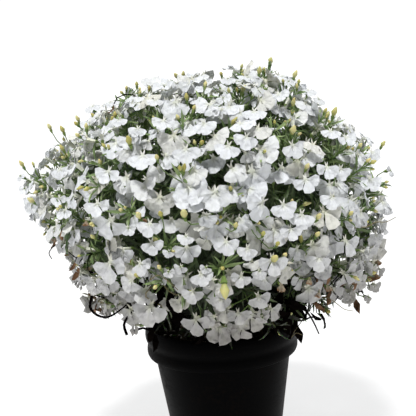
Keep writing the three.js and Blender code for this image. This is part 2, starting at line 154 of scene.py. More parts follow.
# %% A finish and its nodes
class Finish:
    """A material, with one method that adds any kind of node."""

    def __init__(self, name, roughness=0.5, gloss=0.5):
        self.material = bpy.data.materials.new(name)
        self.material.use_nodes = True
        self.tree = self.material.node_tree
        self.shader = self.tree.nodes["Principled BSDF"]
        self.set("Roughness", roughness)
        self.set("Specular IOR Level", gloss)

    def set(self, socket, value):
        plug(self.tree, self.shader.inputs[socket], value)

    def node(self, kind, settings=None, inputs=None, output=0):
        node = self.tree.nodes.new(kind)
        for name, value in (settings or {}).items():
            setattr(node, name, value)
        for socket, value in (inputs or {}).items():
            plug(self.tree, node.inputs[socket], value)
        return Value(node.outputs[output])

    def place(self):
        """The point on the piece, in metres."""
        return self.node("ShaderNodeTexCoord", output="Object")

    def axis(self, letter):
        """That point's X, Y or Z."""
        inputs = {"Vector": self.place()}
        return self.node("ShaderNodeSeparateXYZ", inputs=inputs, output=letter)

    def mark(self, name):
        """A number that the mesh carries at each of its points."""
        return self.node("ShaderNodeAttribute", {"attribute_name": name}, output="Fac")

    def noise(self, scale, detail=2.0, at=None):
        """Soft random spots, from 0 to 1. The scale is spots for a metre."""
        inputs = {"Vector": at or self.place(), "Scale": scale, "Detail": detail}
        return self.node("ShaderNodeTexNoise", inputs=inputs)

    def mix(self, share, first, second):
        """A colour between two colours."""
        inputs = {"Factor": share, "A": first, "B": second}
        node = self.tree.nodes.new("ShaderNodeMix")
        node.data_type = "RGBA"
        for socket in [s for s in node.inputs if s.enabled]:
            plug(self.tree, socket, inputs[socket.name])
        return Value(next(s for s in node.outputs if s.enabled))

    def clamp(self, value, low, high):
        """Spreads the part of a value between low and high over 0 to 1."""
        inputs = {"Value": value, "From Min": low, "From Max": high}
        return self.node("ShaderNodeMapRange", {"clamp": True}, inputs)

    def bump(self, height, depth):
        """Low relief, with its depth in metres."""
        inputs = {"Height": height, "Distance": depth, "Strength": 1.0}
        self.set("Normal", self.node("ShaderNodeBump", inputs=inputs))

    def paint(self, share, first, second):
        """Colours the surface between two colours."""
        self.set("Base Color", self.mix(share, first, second))

    def cover(self, *pieces):
        """Gives pieces this finish."""
        for piece in pieces:
            piece.data.materials.append(self.material)


print("finishes can be made")

# %% [markdown]
# ## Floor and light
# The picture has a plain white ground and a high light that leaves the lowest blooms grey.
# Lamps close to the plant would fall off across it. So the light is one large far lamp from
# above the camera's left, and a pale sky that is brighter behind the plant than in front of
# it. The floor is a sheet that glows a little, like the light tables of catalogue pictures,
# so that shadows on it stay pale.

# %% Floor
FLOOR_WIDTH = 30
FLOOR_GLOW = 0.66
bpy.ops.object.select_all(action="DESELECT")
bpy.ops.mesh.primitive_plane_add(size=FLOOR_WIDTH)
floor = bpy.context.object
floor.name = "floor"
plain_floor = Finish("plain_floor", roughness=0.9)
plain_floor.set("Base Color", (0.34, 0.34, 0.34, 1))
plain_floor.set("Emission Color", (1, 1, 1, 1))
plain_floor.set("Emission Strength", FLOOR_GLOW)
plain_floor.cover(floor)
floor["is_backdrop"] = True
print("floor", floor.dimensions.x, "m wide")

# %% Light
SUN_HEIGHT = math.radians(68)
SUN_BEARING = math.radians(-106)
SUN_STRENGTH = 3.2
# How wide the sun is in the sky. A wider one has softer shadows.
SUN_WIDTH = math.radians(11)
# How far back a way points, and how bright the sky is there.
SKY_RANGE = {"From Min": -0.2, "From Max": 0.7, "To Min": 0.28, "To Max": 1.1}
sun_from = Vector((
    math.cos(SUN_HEIGHT) * math.cos(SUN_BEARING),
    math.cos(SUN_HEIGHT) * math.sin(SUN_BEARING),
    math.sin(SUN_HEIGHT),
))
# Only the direction of a sun lamp matters. It stands 3 m off, clear of the plant.
bpy.ops.object.light_add(type="SUN", location=3 * sun_from)
sun = bpy.context.object
sun.rotation_euler = sun_from.to_track_quat("Z", "Y").to_euler()
sun.data.energy = SUN_STRENGTH
sun.data.angle = SUN_WIDTH

world = bpy.data.worlds.new("studio_sky")
bpy.context.scene.world = world
world.use_nodes = True
tree = world.node_tree
sky = tree.nodes["Background"]
direction = tree.nodes.new("ShaderNodeTexCoord")
parts = tree.nodes.new("ShaderNodeSeparateXYZ")
tree.links.new(direction.outputs["Generated"], parts.inputs[0])
toward_back = tree.nodes.new("ShaderNodeMapRange")
for socket, value in SKY_RANGE.items():
    toward_back.inputs[socket].default_value = value
tree.links.new(parts.outputs["Y"], toward_back.inputs["Value"])
tree.links.new(toward_back.outputs[0], sky.inputs["Strength"])
sky.inputs["Color"].default_value = (0.97, 0.985, 1, 1)
bpy.context.scene.view_settings.view_transform = "Standard"
print("sun comes from", [round(v, 2) for v in sun_from])

# %% [markdown]
# ## Modelling tools
# Everything below is shaped with the same few moves as by hand: pick some points by their
# place, then shift, turn or scale them. An operator acts on all that is selected, so each
# new piece starts with nothing selected.

# %% Pick, shift, turn and scale
def clear_selection():
    if bpy.context.mode != "OBJECT":
        close_mesh()
    bpy.ops.object.select_all(action="DESELECT")


def choose(*pieces):
    """Selects only these objects. The first becomes the active one."""
    clear_selection()
    for piece in pieces:
        piece.select_set(True)
    bpy.context.view_layer.objects.active = pieces[0]


def open_mesh(picked=False):
    """Starts edit mode, with all points picked or with the selection as it was."""
    bpy.ops.object.mode_set(mode="EDIT")
    bpy.ops.mesh.select_mode(type="VERT")
    if picked:
        bpy.ops.mesh.select_all(action="SELECT")


def close_mesh():
    bpy.ops.object.mode_set(mode="OBJECT")


def pick(test):
    """Selects the points whose place passes a test."""
    shape = bmesh.from_edit_mesh(bpy.context.object.data)
    for point in shape.verts:
        point.select = test(point.co)
    shape.select_flush_mode()
    bmesh.update_edit_mesh(bpy.context.object.data)


def shift(x=0.0, y=0.0, z=0.0):
    bpy.ops.transform.translate(value=(x, y, z))


def turn(degrees, axis, centre=(0, 0, 0)):
    """Turns the picked points the right-handed way. Without a window the operator turns the
    other way, so its angle has the other sign."""
    bpy.ops.transform.rotate(
        value=-math.radians(degrees), orient_axis=axis, center_override=centre
    )


def widen(x=1.0, y=1.0, z=1.0, centre=(0, 0, 0)):
    bpy.ops.transform.resize(value=(x, y, z), center_override=centre)


print("points can be picked, shifted, turned and scaled")


# %% Marks and joins
def write_mark(piece, name, rule):
    """Keeps a number at each point of a mesh, for its material to read."""
    layer = piece.data.attributes.new(name, "FLOAT", "POINT")
    for point, item in zip(piece.data.vertices, layer.data):
        item.value = rule(point.co)


def unite(parts, name):
    """Joins some objects into one mesh, with its object at the origin."""
    choose(*parts)
    if len(parts) > 1:
        bpy.ops.object.join()
    bpy.ops.object.transform_apply(location=True, rotation=True, scale=True)
    piece = bpy.context.object
    piece.name = name
    return piece


print("meshes can be marked and joined")

# %% [markdown]
# ## The blade
# A petal lobe, a leaf and a sepal are all thin blades. A flat sheet would have no back, and
# a thickened sheet has many faces on its rim. A ball with four sides, pressed flat, is a
# closed blade with only sixteen faces: its rings become the blade's widths, its poles the
# root and the tip, and its middle line the vein.

# %% Blade
def blade(length, rings, thickness=0.3 * MM, cup=0.0, curls=(), sides=4, ruffle=0.0):
    """A blade that hangs from the origin along -Z and faces -Y.

    rings: share of the length and half width of each ring, from root to tip.
    cup: how far the middle line lies behind the edges.
    curls: place along the length and angle of each backward bend, from tip to root.
    ruffle: how far the edges of one ring after another stand forward or back.
    """
    clear_selection()
    count = len(rings) + 1
    bpy.ops.mesh.primitive_uv_sphere_add(segments=sides, ring_count=count, radius=length / 2)
    piece = bpy.context.object
    open_mesh(picked=True)
    shift(z=-length / 2)
    near = 0.01 * length
    for k in range(len(rings), 0, -1):
        share, half = rings[k - 1]
        angle = math.pi * k / count
        height = -length / 2 * (1 - math.cos(angle))
        radius = length / 2 * math.sin(angle)
        pick(lambda place: abs(place.z - height) < near)
        widen(half / radius, thickness / radius, 1, (0, 0, height))
        shift(z=-share * length - height)
        for side in (-1, 1) if ruffle else ():
            pick(lambda place: abs(place.z + share * length) < near and side * place.x > near)
            shift(y=side * (-1) ** k * ruffle)
    pick(lambda place: abs(place.x) < near and -0.99 * length < place.z < -near)
    shift(y=cup)
    close_mesh()
    write_mark(piece, "along", lambda place: -place.z / length)
    write_mark(piece, "middle", lambda place: float(abs(place.x) < near))
    write_mark(piece, "tone", lambda place: 0.5)
    open_mesh()
    for share, degrees in curls:
        pick(lambda place: place.z < -share * length + near)
        turn(degrees, "X", (0, 0, -share * length))
    close_mesh()
    return piece


def lay(piece, *moves):
    """Turns and shifts a whole piece in edit mode. A move is a shift, or degrees and an axis."""
    choose(piece)
    open_mesh(picked=True)
    for move in moves:
        if len(move) == 2:
            turn(*move)
        else:
            shift(*move)
    close_mesh()
    return piece


print("blades can be made and laid")

# %% [markdown]
# ## The pot
# A blow-moulded nursery pot is one thin wall of black plastic: a tapered side, a rim band
# with two low beads and a rolled lip. Its section could be spun, but pulling it up ring by
# ring from a thin disc follows how the wall runs, up the outside, over the lip and down
# the inside.

# %% A wall pulled up from a disc
NEAR = 0.01 * MM


def pulled_wall(sides, radius, low, thickness, rings):
    """A wall that is pulled from the edge of a thin disc to one ring after another. A ring is
    a radius and a height. All is in mm. The last ring stays picked, in edit mode."""
    clear_selection()
    bpy.ops.mesh.primitive_cylinder_add(
        vertices=sides, radius=radius * MM, depth=thickness * MM,
        location=(0, 0, (low + thickness / 2) * MM),
    )
    bpy.ops.object.transform_apply(location=True)
    piece = bpy.context.object
    open_mesh()
    height = low + thickness
    for next_radius, next_height in rings:
        pick(lambda place: abs(place.z - height * MM) < NEAR
             and abs(place.xy.length - radius * MM) < NEAR)
        bpy.ops.mesh.extrude_region_move(
            TRANSFORM_OT_translate={"value": (0, 0, (next_height - height) * MM)}
        )
        widen(next_radius / radius, next_radius / radius, 1)
        radius, height = next_radius, next_height
    return piece


print("walls can be pulled up")

# %% Pot
# Radius and height in mm, up the outside, over the lip, down the inside and to the floor.
POT_PROFILE = [
    (36.5, 1.5), (37.6, 9.5), (37.9, 10.0), (47.3, 72.3), (47.9, 73.0), (50.6, 73.2),
    (51.9, 74.0), (52.6, 75.6), (52.7, 77.2), (52.6, 79.0), (52.2, 80.8), (52.0, 82.0),
    (52.2, 83.2), (52.9, 84.8), (53.4, 86.6), (53.5, 88.8), (53.3, 91.0), (52.8, 93.0),
    (52.2, 94.5), (51.6, 95.0), (51.0, 94.8), (50.6, 94.2), (50.2, 76.0),
    (49.9, 75.2), (47.0, 74.4), (46.5, 73.2), (36.0, 10.0), (35.4, 3.6), (34.6, 2.4),
    (33.4, 2.0),
]
POT_SIDES = 72
pot = pulled_wall(POT_SIDES, 35.0, 0.0, 0.5, POT_PROFILE)
close_mesh()
print("pot faces", len(pot.data.polygons), "height in mm", round(pot.dimensions.z / MM, 2))

# %% Drain holes
DRAIN_HOLES = 6
DRAIN_RING = 26 * MM
DRAIN_RADIUS = 3.2 * MM
clear_selection()
drills = []
for k in range(DRAIN_HOLES):
    bearing = (k + 0.5) / DRAIN_HOLES * 2 * math.pi
    spot = (DRAIN_RING * math.cos(bearing), DRAIN_RING * math.sin(bearing), 0)
    bpy.ops.mesh.primitive_cylinder_add(
        vertices=20, radius=DRAIN_RADIUS, depth=9 * MM, location=spot
    )
    drills.append(bpy.context.object)
drill = unite(drills, "drill")
choose(pot)
cut = pot.modifiers.new("drain_holes", "BOOLEAN")
cut.object = drill
cut.operation = "DIFFERENCE"
bpy.ops.object.modifier_apply(modifier=cut.name)
bpy.data.objects.remove(drill)
bpy.ops.object.shade_smooth_by_angle(angle=math.radians(32))
pot.name = "nursery_pot"
print("pot faces with drain holes", len(pot.data.polygons))

# %% [markdown]
# ### Black plastic
# Recycled polypropylene is almost black with a satin face. A flat black would look like a
# hole in the picture, and a picture of real plastic would need a file. So noises give it a
# surface: fine grain, faint scuffs that run round the wall and a little dried soil dust. On
# the front, low down near the left and the right edge, a long faint brown strip is a painted
# reflection.

# %% Black plastic
black_plastic = Finish("black_plastic", gloss=0.02)
inputs = {"Vector": black_plastic.place(), "Scale": (1, 1, 7)}
flattened = black_plastic.node("ShaderNodeMapping", {"vector_type": "POINT"}, inputs)
scuffs = black_plastic.clamp(black_plastic.noise(90, 6, flattened), 0.56, 0.74)
cloud = black_plastic.noise(34, 4)
dust = black_plastic.clamp(cloud * black_plastic.noise(420, 3), 0.26, 0.46)
clean = black_plastic.mix(scuffs * 0.6, (0.0007, 0.0007, 0.0008, 1), (0.003, 0.0028, 0.0026, 1))
dusty = black_plastic.mix(dust * 0.1, clean, (0.03, 0.018, 0.011, 1))
black_plastic.set("Roughness", 0.36 + cloud * 0.16 + scuffs * 0.16 + dust * 0.2)
black_plastic.bump(black_plastic.noise(2600, 2) + scuffs * 0.4, 0.00006)
black_plastic.cover(pot)
print("grain, scuffs and dust take", len(black_plastic.tree.nodes), "nodes")

# %% Painted edge reflection
# The wall's radius at the ground, and how much it grows for each metre of height.
WALL_RADIUS = 0.0364
WALL_TAPER = 0.151
beside, behind, above = [black_plastic.axis(letter) for letter in "XYZ"]
edge = black_plastic.clamp(abs(beside) / (WALL_RADIUS + above * WALL_TAPER), 0.93, 0.985)
low_down = 1 - black_plastic.clamp(above, 0.04, 0.07)
in_front = 1 - black_plastic.clamp(behind, -0.02, 0.002)
# Painted reflection: a faint brown strip low on the front of the wall, near its left and right
# edges.
painted_edge_reflection = edge * low_down * black_plastic.clamp(cloud, 0.36, 0.62) * in_front
black_plastic.paint(painted_edge_reflection * 0.5, dusty, (0.05, 0.018, 0.007, 1))
print("with its painted_edge_reflections, black plastic has", len(black_plastic.tree.nodes), "nodes")

# %% [markdown]
# ## The soil
# Damp peat with a little white perlite. It is hidden from the front but shows between the
# stems from above and below. A sheet would do for the top, but the pot's holes look into the
# soil too. So it is a whole body, pulled up along the wall as the pot was. Its top is inset
# ring by ring and shaken into a rough face, and loose crumbs lie on it.

# %% Soil
SOIL_PROFILE = [(44.6, 70), (45.6, 77), (49.4, 81), (49.4, 85.2)]
SOIL_SIDES = 48
SOIL_INSETS = 13
SOIL_RADIUS = 49.4 * MM
# The dome's height in mm at the rim, and how much higher its middle is.
SOIL_EDGE = 85
SOIL_DOME = 3
RIM_RADIUS = 53.5 * MM


def soil_height(radius):
    return (SOIL_EDGE + SOIL_DOME * (1 - (radius / RIM_RADIUS) ** 2)) * MM


soil = pulled_wall(SOIL_SIDES, 34.0, 3.0, 0.3, SOIL_PROFILE)
for _ in range(SOIL_INSETS):
    bpy.ops.mesh.inset(thickness=3.5 * MM, depth=0)
pick(lambda place: place.z > 85 * MM and place.xy.length < 48 * MM)
bpy.ops.transform.vertex_random(offset=1.6 * MM, seed=4)
close_mesh()
for point in soil.data.vertices:
    if point.co.z > 84 * MM and point.co.xy.length < 49 * MM:
        point.co.z += soil_height(point.co.xy.length) - 85.4 * MM
choose(soil)
bpy.ops.object.shade_smooth()
soil.name = "potting_soil"
print("soil faces", len(soil.data.polygons))

# %% [markdown]
# ### Damp peat
# Wet peat is nearly black, with lumps and a few paler fibres. One noise would look like
# sand, so a broad noise makes the lumps and a fine one the fibres.

# %% Damp peat
damp_peat = Finish("damp_peat", roughness=0.95, gloss=0.2)
grain = damp_peat.noise(900, 6)
lumps = damp_peat.noise(160, 4)
dark = damp_peat.mix(lumps, (0.012, 0.008, 0.006, 1), (0.045, 0.028, 0.017, 1))
fibre = damp_peat.clamp(grain, 0.6, 0.7)
damp_peat.paint(fibre * 0.5, dark, (0.14, 0.09, 0.05, 1))
damp_peat.bump(grain + lumps * 2, 0.0012)
damp_peat.cover(soil)
print("peat has", len(damp_peat.tree.nodes), "nodes")

# %% [markdown]
# ## Copies
# What repeats is modelled once. Each copy gets a mesh of its own, its own place and its own
# tone, a number that the material turns into a slightly different shade. Copies are joined
# in one go, because thousands of loose objects are slow to work with.

# %% Copies
def frame_at(spot, facing, upper, size=1.0):
    """The place of a piece modelled to face -Y with its upper end along +Z."""
    back = -facing.normalized()
    top = (upper - upper.dot(back) * back).normalized()
    side = back.cross(top)
    turned = Matrix((side, back, top)).transposed().to_4x4()
    return Matrix.Translation(spot) @ turned @ Matrix.Scale(size, 4)


def plant_out(name, rows):
    """Copies templates to their places. A row is a template, a place and a tone."""
    clear_selection()
    copies = []
    for template, spot, tone in rows:
        copy = template.copy()
        copy.data = template.data.copy()
        bpy.context.scene.collection.objects.link(copy)
        copy.matrix_world = spot
        layer = copy.data.attributes["tone"].data
        layer.foreach_set("value", [tone] * len(layer))
        copies.append(copy)
    piece = unite(copies, name)
    triangles = sum(len(face.vertices) - 2 for face in piece.data.polygons)
    print(name, len(rows), "copies,", triangles, "triangles")
    return piece


def throw_away(templates):
    for template in templates:
        bpy.data.objects.remove(template)


print("copies can be made")

# %% [markdown]
# ### Crumbs and perlite
# Loose crumbs of peat and white grains of perlite lie on the soil. Grains could fall into
# place in a simulation, but they are so small that scattering one shaken ball does as well.

# %% Soil crumbs and perlite
CRUMBS = 320
PERLITE = 60
chance = random.Random(11)
clear_selection()
bpy.ops.mesh.primitive_ico_sphere_add(subdivisions=1, radius=1 * MM)
crumb = bpy.context.object
open_mesh(picked=True)
bpy.ops.transform.vertex_random(offset=0.35 * MM, seed=2)
close_mesh()
write_mark(crumb, "tone", lambda place: 0.5)


def strewn(count, low, high):
    """Crumbs all over the soil, of sizes between two limits."""
    rows = []
    for _ in range(count):
        radius = 47.5 * MM * math.sqrt(chance.random())
        bearing = chance.uniform(0, 2 * math.pi)
        spot = Vector((radius * math.cos(bearing), radius * math.sin(bearing), 0))
        spot.z = soil_height(radius) + 0.3 * MM
        facing = Vector([chance.uniform(-1, 1) for _ in range(3)])
        size = chance.uniform(low, high)
        rows.append((crumb, frame_at(spot, facing, UP + 0.1 * facing.yzx, size), chance.random()))
    return rows


crumbs = plant_out("soil_crumbs", strewn(CRUMBS, 0.6, 2.0))
perlite = plant_out("perlite", strewn(PERLITE, 0.7, 1.5))
throw_away([crumb])
damp_peat.cover(crumbs)
white_perlite = Finish("white_perlite", roughness=0.85)
speck = white_perlite.noise(1500, 3)
white_perlite.paint(speck, (0.42, 0.38, 0.33, 1), (0.8, 0.79, 0.76, 1))
white_perlite.bump(speck, 0.0004)
white_perlite.cover(perlite)

# %% [markdown]
# ## The mound
# Its surface is a flattened ball, fuller below its waist, with a few broad clumps and dents
# where stems crowd together or part. Random points would leave holes, so places are spread
# by the golden angle, as a plant spreads its own leaves, and then shaken.

# %% Mound surface
MOUND_RADIUS = 113 * MM
MOUND_WAIST = 184 * MM
MOUND_UP = 77 * MM
MOUND_DOWN = 92 * MM
MOUND_FULLNESS_ABOVE = 0.85
MOUND_FULLNESS_BELOW = 0.57
# The lowest and the highest slope, as angles seen from the middle of the waist.
MOUND_LOWEST = math.radians(-66)
MOUND_HIGHEST = math.pi / 2 - 0.02
# Bearing and slope in degrees of a clump or dent, and how far it bulges.
CLUMPS = [
    (180, 10, 0.15), (180, -40, -0.14), (0, -48, 0.13), (0, 45, -0.12), (20, 75, 0.09),
    (300, 12, -0.05), (262, -22, 0.07), (225, 42, 0.05), (60, 8, 0.08), (110, -30, -0.06),
    (115, 38, 0.06),
]
CLUMP_SPREAD = math.radians(16)


def mound_outline(slope):
    """The plain mound's radius, and its height over the waist."""
    fullness = MOUND_FULLNESS_ABOVE if slope > 0 else MOUND_FULLNESS_BELOW
    rise = MOUND_UP if slope > 0 else MOUND_DOWN
    return MOUND_RADIUS * max(math.cos(slope), 0) ** fullness, rise * math.sin(slope)


def mound_swell(slope, bearing):
    """How far the mound stands out there, as a share of its plain size."""
    swell = 1 + 0.02 * math.sin(3 * bearing + 0.8) * math.cos(slope)
    for degrees, slope_degrees, bulge in CLUMPS:
        middle = math.radians(slope_degrees)
        level = math.cos(slope) * math.cos(middle) * math.cos(bearing - math.radians(degrees))
        near = math.sin(slope) * math.sin(middle) + level
        swell += bulge * math.exp(-2 * (1 - near) / CLUMP_SPREAD ** 2)
    return swell


def mound_point(slope, bearing):
    radius, climb = mound_outline(slope)
    swell = mound_swell(slope, bearing)
    aside = swell * radius * Vector((math.cos(bearing), math.sin(bearing), 0))
    return aside + (MOUND_WAIST + swell * climb) * UP


def mound_normal(slope, bearing):
    step = 0.01
    up = min(slope + step, math.pi / 2 - step)
    along = mound_point(up, bearing) - mound_point(up - 2 * step, bearing)
    around = mound_point(up - step, bearing + step) - mound_point(up - step, bearing - step)
    return around.cross(along).normalized()


print("mound waist", round(MOUND_RADIUS * 2 / MM), "mm wide")

# %% Even places on the mound
GOLDEN_ANGLE = math.pi * (3 - math.sqrt(5))
# How far a place is shaken off its even spot, as an angle.
SHAKE = 0.1


def even_slopes(count, first, bands=400):
    """Slopes that share the mound's surface out evenly, from the top down. The first place
    lies at a share of one place's surface from the top."""
    slopes = [math.pi / 2 + (MOUND_LOWEST - math.pi / 2) * k / bands for k in range(bands + 1)]
    flat = [mound_outline(slope) for slope in slopes]
    areas = [0.0]
    for (r0, z0), (r1, z1) in zip(flat, flat[1:]):
        areas.append(areas[-1] + (r0 + r1) / 2 * math.hypot(r1 - r0, z1 - z0))
    chosen = []
    for k in range(count):
        wanted = (k + first) / count * areas[-1]
        chosen.append(slopes[next(i for i, area in enumerate(areas) if area >= wanted)])
    return chosen


def mound_places(count, shake, chance, first=0.5):
    """Places spread over the mound: point, normal and bearing."""
    places = []
    for k, slope in enumerate(even_slopes(count, first)):
        bearing = k * GOLDEN_ANGLE + chance.uniform(-shake, shake) / max(math.cos(slope), 0.3)
        slope += chance.uniform(-shake, shake)
        slope = min(max(slope, MOUND_LOWEST), MOUND_HIGHEST)
        places.append((mound_point(slope, bearing), mound_normal(slope, bearing), bearing))
    return places


print("golden angle in degrees:", round(math.degrees(GOLDEN_ANGLE), 1))

# %% [markdown]
# ## Places seen in the photograph
# The rule fills the mound evenly, but this plant has its own bright blooms, green gaps and
# dried leaves. The camera turns a point into a column and a row of the picture. The other
# way round, a search over the mound's front finds the point that is seen there, so a piece
# can be placed at a listed column and row and still stand on the mound.

# %% From the picture to the mound
PIXELS_A_RADIAN = LENS / SENSOR * PICTURE
FRONT_SLOPES = 110
FRONT_BEARINGS = 160
# How far round the mound the search goes, as a share of half a turn.
FRONT_SHARE = 1.3
# How many pixels beside the spot are made up for by lying a metre nearer to the camera.
NEARER_PIXELS = 50
bpy.context.view_layer.update()
into_camera = camera.matrix_world.inverted()


def in_picture(point):
    """The column and row at which the camera sees a point, and its distance."""
    seen = into_camera @ point
    share = PIXELS_A_RADIAN / seen.z
    return Vector((PICTURE / 2 - share * seen.x, PICTURE / 2 + share * seen.y, -seen.z))


def from_picture(column, row, distance):
    """The point at a distance that the camera sees at a column and row."""
    share = distance / PIXELS_A_RADIAN
    aside = share * (column - PICTURE / 2)
    return camera.matrix_world @ Vector((aside, share * (PICTURE / 2 - row), -distance))


mound_front = []
for i in range(FRONT_SLOPES):
    slope = MOUND_LOWEST + (MOUND_HIGHEST - MOUND_LOWEST) * i / (FRONT_SLOPES - 1)
    for k in range(FRONT_BEARINGS):
        bearing = -math.pi / 2 + (k / (FRONT_BEARINGS - 1) - 0.5) * FRONT_SHARE * math.pi
        mound_front.append((in_picture(mound_point(slope, bearing)), slope, bearing))


def seen_at(column, row):
    """Point, normal and bearing of the mound where the camera sees it, and the distance."""
    wanted = Vector((column, row))
    spot, slope, bearing = min(
        mound_front, key=lambda s: (s[0].xy - wanted).length + NEARER_PIXELS * s[0].z
    )
    return from_picture(column, row, spot.z), mound_normal(slope, bearing), bearing, spot.z


print("searching", len(mound_front), "places on the mound's front")

# %% [markdown]
# ## Stems
# Twenty main stems rise from the soil to the mound. Each carries side shoots that end just
# under the blooms. A skin modifier could dress a net of edges, but it leaves lumps where
# stems branch. Curves with a round section, turned into meshes, keep a smooth taper.

# %% Lines of the main stems
STEMS = 20
# Knots on a main stem's arc. One more lies under the soil.
ARC_KNOTS = 14
# The stems' feet stand no further than this from the soil's middle, and their heads end this
# far under the mound's surface.
FEET_RADIUS = 38 * MM
HEAD_DEPTH = 24 * MM
BURIED_DEPTH = 8 * MM
# How far the first head is from the top, as a share of one head's part of the surface.
FIRST_PLACE = 0.1
chance = random.Random(23)


def arc(start, start_way, end, end_way, steps):
    """Points on a smooth arc that leaves and arrives along given ways."""
    return interpolate_bezier(start, start + start_way, end - end_way, end, steps)


heads = mound_places(STEMS, 0, chance, FIRST_PLACE)
main_lines = []
for k, (point, normal, bearing) in enumerate(heads):
    radius = FEET_RADIUS * math.sqrt((k + 0.6) / STEMS)
    foot = Vector((radius * math.cos(bearing), radius * math.sin(bearing), soil_height(radius)))
    top = point - HEAD_DEPTH * normal
    reach = (top - foot).length
    buried = foot - BURIED_DEPTH * UP
    rising = arc(foot, 0.45 * reach * UP, top, 0.3 * reach * normal, ARC_KNOTS)
    main_lines.append([buried, *rising])
print(len(main_lines), "main stems")

# %% Lines of the side shoots
SHOOTS = 140
SHOOT_KNOTS = 13
# The deepest that a shoot's tip lies under the mound's surface, in mm.
SHOOT_DEPTH = 12
LOWEST_TIP = 109 * MM
# Column and row of a tuft of leaves that stands out in the photograph.
SEEN_TUFTS = [
    (262, 70), (270, 64), (250, 76), (289, 85), (190, 110), (181, 120), (232, 97), (278, 124),
    (88, 160), (97, 172), (62, 140), (30, 172), (331, 120), (299, 137), (350, 216), (160, 285),
    (372, 150), (135, 96),
]
TUFT_DEPTH = 6 * MM
# Column, row and radius of a bay in the mound's outline in the photograph. Only the tufts,
# blooms and buds that the photograph shows may reach into one.
SEEN_BAYS = [
    (60, 280, 18), (68, 300, 19), (337, 103, 14), (100, 332, 14), (212, 62, 15), (236, 57, 13),
    (148, 73, 13), (106, 87, 12), (124, 337, 15), (112, 325, 12), (214, 343, 12),
]
# Spots of the picture leave the mound's back alone, which lies beyond this distance.
FRONT_LIMIT = 1.03 * CAMERA_DISTANCE


def in_a_spot(point, spots):
    """True if the camera sees a point inside one of some round spots of the picture."""
    column, row, distance = in_picture(point)
    inside = any(math.hypot(column - x, row - y) < radius for x, y, radius in spots)
    return inside and distance < FRONT_LIMIT


tips = []
for point, normal, bearing in mound_places(SHOOTS, SHAKE, chance):
    tip = point - chance.uniform(0, SHOOT_DEPTH) * MM * normal
    if tip.z > LOWEST_TIP and not in_a_spot(tip, SEEN_BAYS):
        tips.append((tip, normal, bearing))
for column, row in SEEN_TUFTS:
    spot, normal, bearing, _ = seen_at(column, row)
    tips.append((spot - TUFT_DEPTH * normal, normal, bearing))

shoots = []
for tip, normal, bearing in tips:
    k = min(range(STEMS), key=lambda k: (heads[k][0] - tip).length)
    knot = chance.randint(ARC_KNOTS // 2, ARC_KNOTS - 1)
    start = main_lines[k][knot]
    reach = (tip - start).length
    outward = (main_lines[k][knot + 1] - start).normalized()
    level = Vector((math.cos(bearing), math.sin(bearing), 0))
    arriving = (normal + 0.55 * UP + 0.2 * level).normalized()
    line = arc(start, 0.4 * reach * outward, tip, 0.4 * reach * arriving, SHOOT_KNOTS)
    shoots.append({"line": line, "tip": tip, "normal": normal})
print(len(shoots), "side shoots")


# %% Stalks from lines
def stalks(name, lines, resolution=0):
    """One mesh of round stalks. A line is its points and its radii in mm at start and end."""
    clear_selection()
    bpy.ops.curve.primitive_bezier_curve_add()
    stalk = bpy.context.object
    stalk.name = name
    curve = stalk.data
    curve.splines.clear()
    curve.dimensions = "3D"
    curve.bevel_depth = 1 * MM
    curve.bevel_resolution = resolution
    curve.use_fill_caps = True
    for points, first, last in lines:
        spline = curve.splines.new("POLY")
        spline.points.add(len(points) - 1)
        for k, (knot, point) in enumerate(zip(spline.points, points)):
            knot.co = (*point, 1)
            knot.radius = first + (last - first) * k / (len(points) - 1)
    bpy.ops.object.convert(target="MESH")
    piece = unite([bpy.context.object], name)
    bpy.ops.object.shade_smooth_by_angle(angle=math.radians(60))
    print(name, len(lines), "stalks,", len(piece.data.polygons), "faces")
    return piece


# Radii in mm at the start and the end.
MAIN_STEM = (1.5, 1.0)
SIDE_SHOOT = (0.85, 0.45)
main_stems = stalks("main_stems", [(line, *MAIN_STEM) for line in main_lines], 1)
side_shoots = stalks("side_shoots", [(shoot["line"], *SIDE_SHOOT) for shoot in shoots])

# %% [markdown]
# ### Green stem
# Young lobelia stems are a fresh green that turns to brown where they are old, low in the
# mound. The height alone could set the change, but that would draw a straight line through
# all of them, so a noise is added to it.

# %% Green stem
green_stem = Finish("green_stem", roughness=0.5)
old = green_stem.clamp(green_stem.axis("Z") + green_stem.noise(60, 3) * 0.05, 0.14, 0.2)
streak = green_stem.noise(500, 3)
young = green_stem.mix(streak, (0.045, 0.1, 0.018, 1), (0.13, 0.22, 0.05, 1))
green_stem.paint(old, (0.07, 0.055, 0.025, 1), young)
green_stem.bump(streak, 0.0002)
green_stem.cover(main_stems, side_shoots)
print("green stem has", len(green_stem.tree.nodes), "nodes")

# %% [markdown]
# ## Leaves
# Narrow, pointed and slightly folded along the midrib. One template would show its copies,
# so there are three that bend by different amounts. Leaves could be thrown about at random,
# but real ones stand on a shoot in a spiral. They are larger and darker towards the inside,
# so that the gaps between the blooms look into deep shade.

# %% Leaf templates
# A template's length in mm, and the rings of its blade.
LEAF_LENGTH = 16
LEAF_RINGS = [(0.24, 0.75 * MM), (0.5, 1.1 * MM), (0.78, 0.65 * MM)]
leaf_templates = []
for cup, curls in [
    (0.5 * MM, [(0.78, 14), (0.5, 12), (0.24, 10)]),
    (0.7 * MM, [(0.78, 26), (0.5, 20), (0.24, 8)]),
    (0.35 * MM, [(0.78, -10), (0.5, 6), (0.24, 18)]),
]:
    leaf = blade(LEAF_LENGTH * MM, LEAF_RINGS, cup=cup, curls=curls)
    lay(leaf, (180, "Y"))
    leaf_templates.append(leaf)
print("leaf faces", len(leaf.data.polygons))

# %% Leaves on the shoots
# Leaves on a line: the shares of it between which they stand, their number, and the limits
# of their lengths in mm and of their lean in degrees.
OUTER_LEAVES = (0.66, 1.0, 17, (8, 16), (14, 66))
INNER_LEAVES = (0.05, 0.75, 15, (16, 27), (45, 95))
STEM_LEAVES = (0.12, 0.95, 56, (18, 34), (50, 110))
